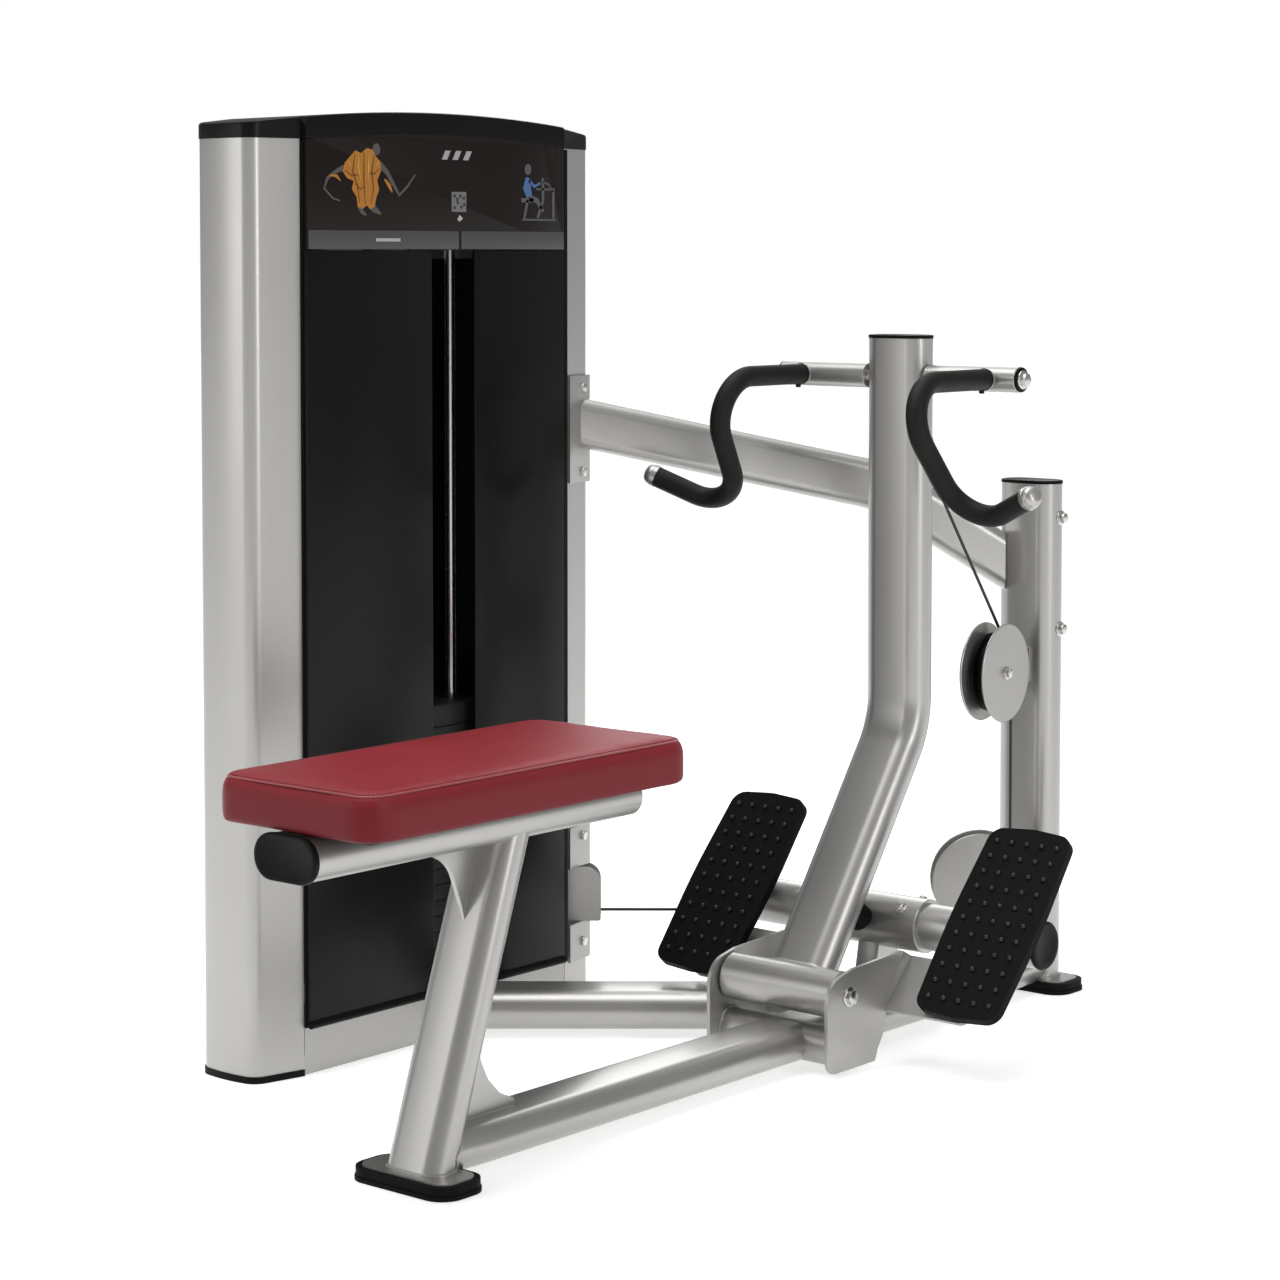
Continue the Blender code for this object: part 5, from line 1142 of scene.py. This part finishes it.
flat_print("muscle_shade", (0.30, 0.085, 0.008), [
    limb((0.402, 1.386, 0.001), (0.401, 1.352, 0.0028), (0.404, 1.308, 0.001)),
    limb((0.382, 1.382, 0.001), (0.378, 1.356, 0.0034), (0.388, 1.334, 0.0022), (0.392, 1.310, 0.001)),
    limb((0.424, 1.382, 0.001), (0.418, 1.356, 0.0034), (0.422, 1.332, 0.0022), (0.416, 1.308, 0.001)),
    limb((0.362, 1.358, 0.001), (0.376, 1.350, 0.0024), (0.392, 1.352, 0.001)),
    limb((0.436, 1.362, 0.001), (0.424, 1.354, 0.0024), (0.410, 1.354, 0.001)),
    limb((0.384, 1.338, 0.001), (0.394, 1.330, 0.0020), (0.402, 1.334, 0.001))], 0.0011)
flat_print("muscle_light", (0.85, 0.48, 0.10), [
    limb((0.390, 1.380, 0.001), (0.389, 1.362, 0.0034), (0.394, 1.344, 0.001)),
    limb((0.412, 1.382, 0.001), (0.411, 1.362, 0.0034), (0.410, 1.344, 0.001)),
    limb((0.369, 1.370, 0.003), (0.372, 1.364, 0.001)),
    limb((0.431, 1.372, 0.003), (0.428, 1.364, 0.001))], 0.0013)
flat_print("rower_shirt", (0.09, 0.20, 0.48), [
    limb((0.771, 1.354, 0.010), (0.768, 1.338, 0.019), (0.774, 1.324, 0.014)),
    limb((0.773, 1.350, 0.006), (0.786, 1.340, 0.005), (0.800, 1.346, 0.004))], 0.0006)
flat_print("rower_diagram", (0.115, 0.115, 0.115), [
    disc(0.771, 1.367, 0.0078, 0.0088),
    limb((0.755, 1.318, 0.007), (0.784, 1.318, 0.007)),
    limb((0.770, 1.318, 0.006), (0.762, 1.289, 0.005)),
    limb((0.757, 1.287, 0.003), (0.838, 1.287, 0.003)),
    limb((0.832, 1.288, 0.006), (0.832, 1.338, 0.006)),
    limb((0.806, 1.354, 0.006), (0.807, 1.318, 0.006), (0.794, 1.290, 0.006)),
    limb((0.806, 1.348, 0.003), (0.820, 1.344, 0.003), (0.832, 1.332, 0.003)),
    limb((0.774, 1.322, 0.011), (0.792, 1.318, 0.009), (0.808, 1.300, 0.005)),
    limb((0.790, 1.336, 0.003), (0.826, 1.336, 0.003))], 0.0003)
flat_print("data_label", (0.24, 0.24, 0.23), [
    [(0.594, 1.298), (0.627, 1.298), (0.627, 1.329), (0.594, 1.329)]], 0.0002)
flat_print("data_squares", (0.05, 0.05, 0.05), [
    [(x, z), (x + 0.005, z), (x + 0.005, z + 0.005), (x, z + 0.005)]
    for x, z in ((0.598, 1.302), (0.605, 1.310), (0.613, 1.303), (0.619, 1.317), (0.598, 1.320),
                 (0.611, 1.320), (0.604, 1.315), (0.620, 1.307))], 0.0006)
flat_print("white_marker", (0.70, 0.68, 0.66), [
    [(0.606, 1.286), (0.612, 1.283), (0.619, 1.288), (0.612, 1.293)]], 0.0004)
flat_print("plain_bars", (0.55, 0.55, 0.54), [
    [(x, 1.3785), (x + 0.012, 1.3785), (x + 0.020, 1.3925), (x + 0.008, 1.3925)]
    for x in (0.572, 0.596, 0.620)], 0.0003)
flat_print("strip_dash", (0.62, 0.62, 0.60), [
    [(0.425, 1.2515), (0.478, 1.2515), (0.478, 1.2565), (0.425, 1.2565)]], 0.0022)

# ==== Lever arm ================================================================================
# A tall flat-oval arm, bent once, welded low down to the pivot tube. A black cap plugs its top
# and a plate lug welded on its back holds the end of the cable.
ARM_WIDE, ARM_THICK = 0.110, 0.058
ARM_ROOT, ARM_BEND, ARM_HEAD = at(0.836, 0, 0.117), at(1.101, 0, 0.488), at(1.101, 0, 1.100)
arm_section = oval(ARM_WIDE, ARM_THICK, 18)
arm = bmesh.new()
sweep(arm, fillet([ARM_ROOT, ARM_BEND, ARM_HEAD], 0.15, 28, closed=False), arm_section, Y_AXIS)
piece("arm_tube", arm, silver, "arm", "lever_arm")
barrel = bmesh.new()
rod(barrel, PIVOT - Y_AXIS * 0.1045, PIVOT + Y_AXIS * 0.1045, 0.036, 0.0015, 72)
way_up = (ARM_BEND - ARM_ROOT).normalized()
weld_loop = []
for a, b in arm_section:
    start = ARM_ROOT + Y_AXIS * a + way_up.cross(Y_AXIS) * b
    point, step = start, 0.0
    while math.hypot(point.x - PIVOT.x, point.z - PIVOT.z) < 0.0362 and step < 0.08:
        step += 0.0005
        point = start + way_up * step
    weld_loop.append(point)
thin = [p for k, p in enumerate(weld_loop) if (p - weld_loop[k - 1]).length > 0.0004]
sweep(barrel, thin, circle(0.0028, 10), closed=True)
piece("pivot_barrel", barrel, silver, "arm", "pivot_tube")
plug = bmesh.new()
cap_plug(plug, oval(ARM_WIDE + 0.002, ARM_THICK + 0.002), ARM_HEAD, Z_AXIS, 0.0055)
piece("arm_plug", plug, plastic, "arm", "arm_cap")
lug = bmesh.new()
back = 1.101 + ARM_THICK / 2
outline = fillet([(back - 0.002, 0.855, 0), (back + 0.046, 0.864, 0), (back + 0.063, 0.890, 0),
                  (back + 0.063, 0.938, 0),
                  (back + 0.036, 0.966, 0), (back - 0.002, 0.976, 0)],
                  [0.0, 0.012, 0.012, 0.018, 0.012, 0.0], 8)
slab(lug, outline, 0.008, at(0, 0.004, 0), X_AXIS, Z_AXIS, edge=0.0012)
rod(lug, at(1.181, -0.010, 0.884), at(1.181, 0.014, 0.884), 0.010)
piece("cable_lug", lug, grey, "arm", "cable_anchor")

# ==== Crossbar and handles =====================================================================
# A bar through the arm's head carries a turning sleeve at each side, held by a washer and a hex
# nut. Each handle is a bent steel tube welded to its sleeve, in a ribbed black rubber grip.
CROSS, CROSS_HALF, CROSS_RADIUS = at(1.098, 0.0, 1.040), 0.2275, 0.0112
HANDLE_RADIUS, GRIP_RADIUS, SLEEVE_RADIUS, SLEEVE_LONG = 0.0125, 0.0164, 0.0198, 0.1680
bar = bmesh.new()
rod(bar, CROSS - Y_AXIS * CROSS_HALF, CROSS + Y_AXIS * CROSS_HALF, CROSS_RADIUS)
piece("cross_rod", bar, steel, "arm", "crossbar")
put_bolts("cross_nuts", [(CROSS + Y_AXIS * side * (CROSS_HALF + 0.0025), Y_AXIS * side)
                         for side in (1, -1)],
          0.0105, 0.0075, 0.0145, "arm", 0.0008)
for side, word in ((1, "left"), (-1, "right")):
    bush = bmesh.new()
    turned(bush, [(0.0113, 0.0), (0.0188, 0.0), (0.0192, 0.0008), (0.0192, 0.0022), (0.0180, 0.0028),
                  (0.0113, 0.0028)],
           CROSS + Y_AXIS * side * 0.2258, Y_AXIS * side, 56, closed=True)
    piece("sleeve_bush_" + word, bush, plastic, "arm")
handle_corners = [(1.098, 0.176, 1.040), (0.826, 0.176, 1.040), (0.977, 0.215, 0.813),
                  (0.920, 0.362, 0.878)]
tube_recipe = Recipe("bent_tube", Radius="Float", Sides="Int")
line = tube_recipe.add("GeometryNodeMeshToCurve", {}, {"Mesh": tube_recipe["Geometry"]})
ring = tube_recipe.add("GeometryNodeCurvePrimitiveCircle", {},
                       {"Resolution": tube_recipe["Sides"], "Radius": tube_recipe["Radius"]})
skin_mesh = tube_recipe.add("GeometryNodeCurveToMesh", {},
                            {"Curve": line, "Profile Curve": ring, "Fill Caps": True})
tube_recipe.end(skin_mesh)


def along_path(path, start, end):
    """The stretch of a path between two distances, the second measured back from its end."""
    lengths = [0.0]
    for a, b in zip(path, path[1:]):
        lengths.append(lengths[-1] + (b - a).length)

    def point(distance):
        for k in range(len(path) - 1):
            if distance <= lengths[k + 1] + 1e-9:
                return path[k].lerp(path[k + 1], (distance - lengths[k]) / (lengths[k + 1] - lengths[k]))
        return path[-1]

    stop = lengths[-1] - end
    return [point(start)] + [p for p, d in zip(path,
                                               lengths) if start + 0.001 < d < stop - 0.001] + [point(stop)]


grip_rubber = Finish("grip_rubber", "black_rubber", Base_Color=(0.007, 0.007, 0.006), Roughness=0.58,
                     Specular_IOR_Level=0.25)
grip_rubber.set(Roughness=0.50 + grip_rubber.noise(50.0) * 0.16,
                Normal=grip_rubber.bumps(grip_rubber.noise(1300.0, 3.0), 0.0004, 0.7))
for side, word in ((1, "left"), (-1, "right")):
    path = fillet([at(x, side * y, z) for x, y, z in handle_corners], 0.062, 20, closed=False)
    handle = tube_recipe.make("handle_tube_" + word, silver, line_mesh(path), Radius=HANDLE_RADIUS,
                              Sides=40)
    fit(handle, "handle_" + word, "silver_paint", "handle_" + word)
    sleeve = bmesh.new()
    turned(sleeve, [(0.0116, 0.0), (SLEEVE_RADIUS - 0.0008, 0.0), (SLEEVE_RADIUS, 0.0008),
                    (SLEEVE_RADIUS, SLEEVE_LONG - 0.0008),
                    (SLEEVE_RADIUS - 0.0008, SLEEVE_LONG), (0.0116, SLEEVE_LONG)],
           CROSS + Y_AXIS * side * 0.0575, Y_AXIS * side, 64, closed=True)
    collar = along_path(path, 0.0205, 0)[0]
    toward = (path[1] - path[0]).normalized()
    turned(sleeve, [(0.0125, -0.004), (0.0155, -0.002), (0.0155, 0.0010), (0.0125, 0.0026)], collar, toward,
           48, closed=True)
    piece("handle_sleeve_" + word, sleeve, silver, "handle_" + word)
    tip = path[-1]
    outward = (path[-1] - path[-2]).normalized()
    end_piece = bmesh.new()
    turned(end_piece, [(0, -0.011), (0.0176, -0.011), (0.0176, -0.0040), (0.0166, -0.0030),
                       (0.0164, -0.001), (0.0150, 0.0040),
                       (0.0120, 0.0075), (0.0075, 0.0092), (0, 0.0096)], tip, outward, 56)
    piece("handle_end_" + word, end_piece, silver, "handle_" + word)
    grip_path = along_path(path, 0.024, 0.0115)
    grip = tube_recipe.make("grip_sleeve_" + word, grip_rubber, line_mesh(grip_path), Radius=GRIP_RADIUS,
                            Sides=48)
    fit(grip, "handle_" + word, "black_rubber", "grip_" + word)
    rims = bmesh.new()
    turned(rims, [(0.0150, 0.0), (0.0170, 0.0008), (0.0174, 0.0022), (0.0170, 0.0036), (0.0150, 0.0044)],
           grip_path[0],
           (grip_path[1] - grip_path[0]).normalized(), 48, closed=True)
    rod(rims, grip_path[0] + toward * 0.008 - Z_AXIS * 0.0150,
        grip_path[0] + toward * 0.008 - Z_AXIS * 0.0215, 0.0042, 0.0010, 24)
    piece("grip_rim_" + word, rims, grip_rubber, "handle_" + word)

# ==== Cable ====================================================================================
# Steel rope in a black nylon jacket, from the arm's lug down round the upper and lower pulleys,
# along the floor to the tower, up over the two top pulleys and down to the head plate.
jacket = Finish("cable_jacket", "black_plastic", Base_Color=(0.014, 0.014, 0.014), Roughness=0.34)
jacket.set(Normal=jacket.bumps(jacket.noise(700.0), 0.0002, 0.3))


def arc(centre, across, start, end, radius, steps=24):
    """The cable's middle line round a pulley, between two angles above its level way."""
    return [centre + across * radius * math.cos(a) + Z_AXIS * radius * math.sin(a)
            for a in [math.radians(start + (end - start) * k / steps) for k in range(steps + 1)]]


ANCHOR, WRAP_MORE = at(1.183, -0.004, 0.880), 33.0
offset = ANCHOR - UPPER_PULLEY
flat = offset.dot(plane_way(UPPER_YAW))
meet = math.degrees(math.atan2(offset.z, flat)) - math.degrees(math.acos(UPPER_TURN / math.hypot(flat,
                                                                                                 offset.z)))
first = arc(UPPER_PULLEY, plane_way(UPPER_YAW), meet, meet, UPPER_TURN, 1)[0]
run = bmesh.new()
up_run = (ANCHOR - first).normalized()
top_end = ANCHOR - up_run * 0.0100
rise = first + up_run * UPPER_TURN * math.tan(math.radians(WRAP_MORE / 2))
sweep(run, [top_end, rise, first], circle(CABLE_RADIUS, 20))
arm_run = into_scene("cable_to_arm", run, jacket)
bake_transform(arm_run)
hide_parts("cable_arm_run")
ferrule = bmesh.new()
rod(ferrule, top_end - up_run * 0.001, top_end + up_run * 0.020, 0.0052, 0.001, 28)
piece("cable_ferrule", ferrule, steel, "arm")
route = arc(UPPER_PULLEY, plane_way(UPPER_YAW), meet, 0.0, UPPER_TURN)
route += arc(LOWER_PULLEY, plane_way(LOWER_YAW), 0.0, -90.0, CABLE_TURN)
route += arc(TOWER_PULLEY, -plane_way(LOWER_YAW), -90.0, 0.0, TOWER_TURN)
route += arc(outer_top, X_AXIS, 0.0, 90.0, CABLE_TURN) + arc(inner_top, X_AXIS, 90.0, 180.0, CABLE_TURN)
guided = bmesh.new()
sweep(guided, route, circle(CABLE_RADIUS, 14))
piece("cable_round_pulleys", guided, jacket, "frame", "cable_guided_run")
stack_low, stack_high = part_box("cable_stack_run")
upper_end, lower_end = [Vector((STACK.x, STACK.y, z)) for z in (stack_high.z, stack_low.z)]
drop = bmesh.new()
sweep(drop, [upper_end, lower_end], circle(CABLE_RADIUS, 20))
stack_run = into_scene("cable_to_stack", drop, jacket)
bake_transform(stack_run)
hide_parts("cable_stack_run")

# ==== Studio ===================================================================================
# A plain pale floor and a white backdrop, soft boxes on three sides and overhead with a soft sun,
# and a long lens at about head height, looking a little down at the machine from beside the seat.
floor_mesh = bpy.data.meshes.new("floor")
floor_mesh.from_pydata([(-30, -30, -0.0006), (30, -30, -0.0006), (30, 30, -0.0006), (-30, 30, -0.0006)], [],
                       [(0, 1, 2, 3)])
floor = bpy.data.objects.new("floor", floor_mesh)
bpy.context.scene.collection.objects.link(floor)
floor_finish = Finish("pale_floor", Base_Color=(0.88, 0.88, 0.88), Roughness=0.9, Specular_IOR_Level=0.0)
floor_finish.set(Emission_Color=(1.0, 1.0, 1.0), Emission_Strength=0.56)
floor_mesh.materials.append(floor_finish.material)
floor.visible_diffuse = False


def soft_box(name, place, target, wide, tall, power):
    """A rectangular studio light that faces its target."""
    light = bpy.data.lights.new(name, "AREA")
    light.shape, light.size, light.size_y, light.energy = "RECTANGLE", wide, tall, power
    lamp = bpy.data.objects.new(name, light)
    lamp.location = place
    lamp.rotation_euler = (Vector(target) - Vector(place)).to_track_quat("-Z", "Y").to_euler()
    bpy.context.scene.collection.objects.link(lamp)


soft_box("key_box", (-0.6, -4.6, 2.2), (0.1, 0, 0.7), 0.7, 3.2, 48)
soft_box("side_box", (-4.4, 2.4, 2.0), (0, 0, 0.7), 1.8, 2.8, 30)
soft_box("top_box", (-0.6, 0.6, 4.6), (0, 0, 0), 3.6, 3.0, 95)
soft_box("rear_box", (3.6, 2.6, 2.4), (0, 0, 0.6), 1.6, 2.4, 30)
sun = bpy.data.lights.new("soft_daylight", "SUN")
sun.energy, sun.angle = 0.8, math.radians(55)
day = bpy.data.objects.new("soft_daylight", sun)
day.rotation_euler = (math.radians(-12), math.radians(10), 0)
bpy.context.scene.collection.objects.link(day)
world = bpy.data.worlds.new("studio")
bpy.context.scene.world = world
world.use_nodes = True
sky = world.node_tree
glow = sky.nodes["Background"]
glow.inputs["Color"].default_value = (0.31, 0.31, 0.313, 1.0)
glow.inputs["Strength"].default_value = 1.0
white = sky.nodes.new("ShaderNodeBackground")
white.inputs["Color"].default_value = (1.0, 1.0, 1.0, 1.0)
seen = sky.nodes.new("ShaderNodeLightPath")
choose = sky.nodes.new("ShaderNodeMixShader")
sky.links.new(seen.outputs["Is Camera Ray"], choose.inputs[0])
sky.links.new(glow.outputs[0], choose.inputs[1])
sky.links.new(white.outputs[0], choose.inputs[2])
sky.links.new(choose.outputs[0], sky.nodes["World Output"].inputs["Surface"])
bpy.context.scene.view_settings.view_transform = "Standard"

lens = bpy.data.cameras.new("camera")
lens.sensor_width = 36.0
lens.lens = 87.70
lens.shift_x, lens.shift_y = 0.0130, -0.1754
camera = bpy.data.objects.new("camera", lens)
camera.location = (-3.5839, -2.9900, 1.2355)
camera.rotation_euler = (math.radians(87.0), 0.0, math.radians(-49.768))
bpy.context.scene.collection.objects.link(camera)
bpy.context.scene.camera = camera
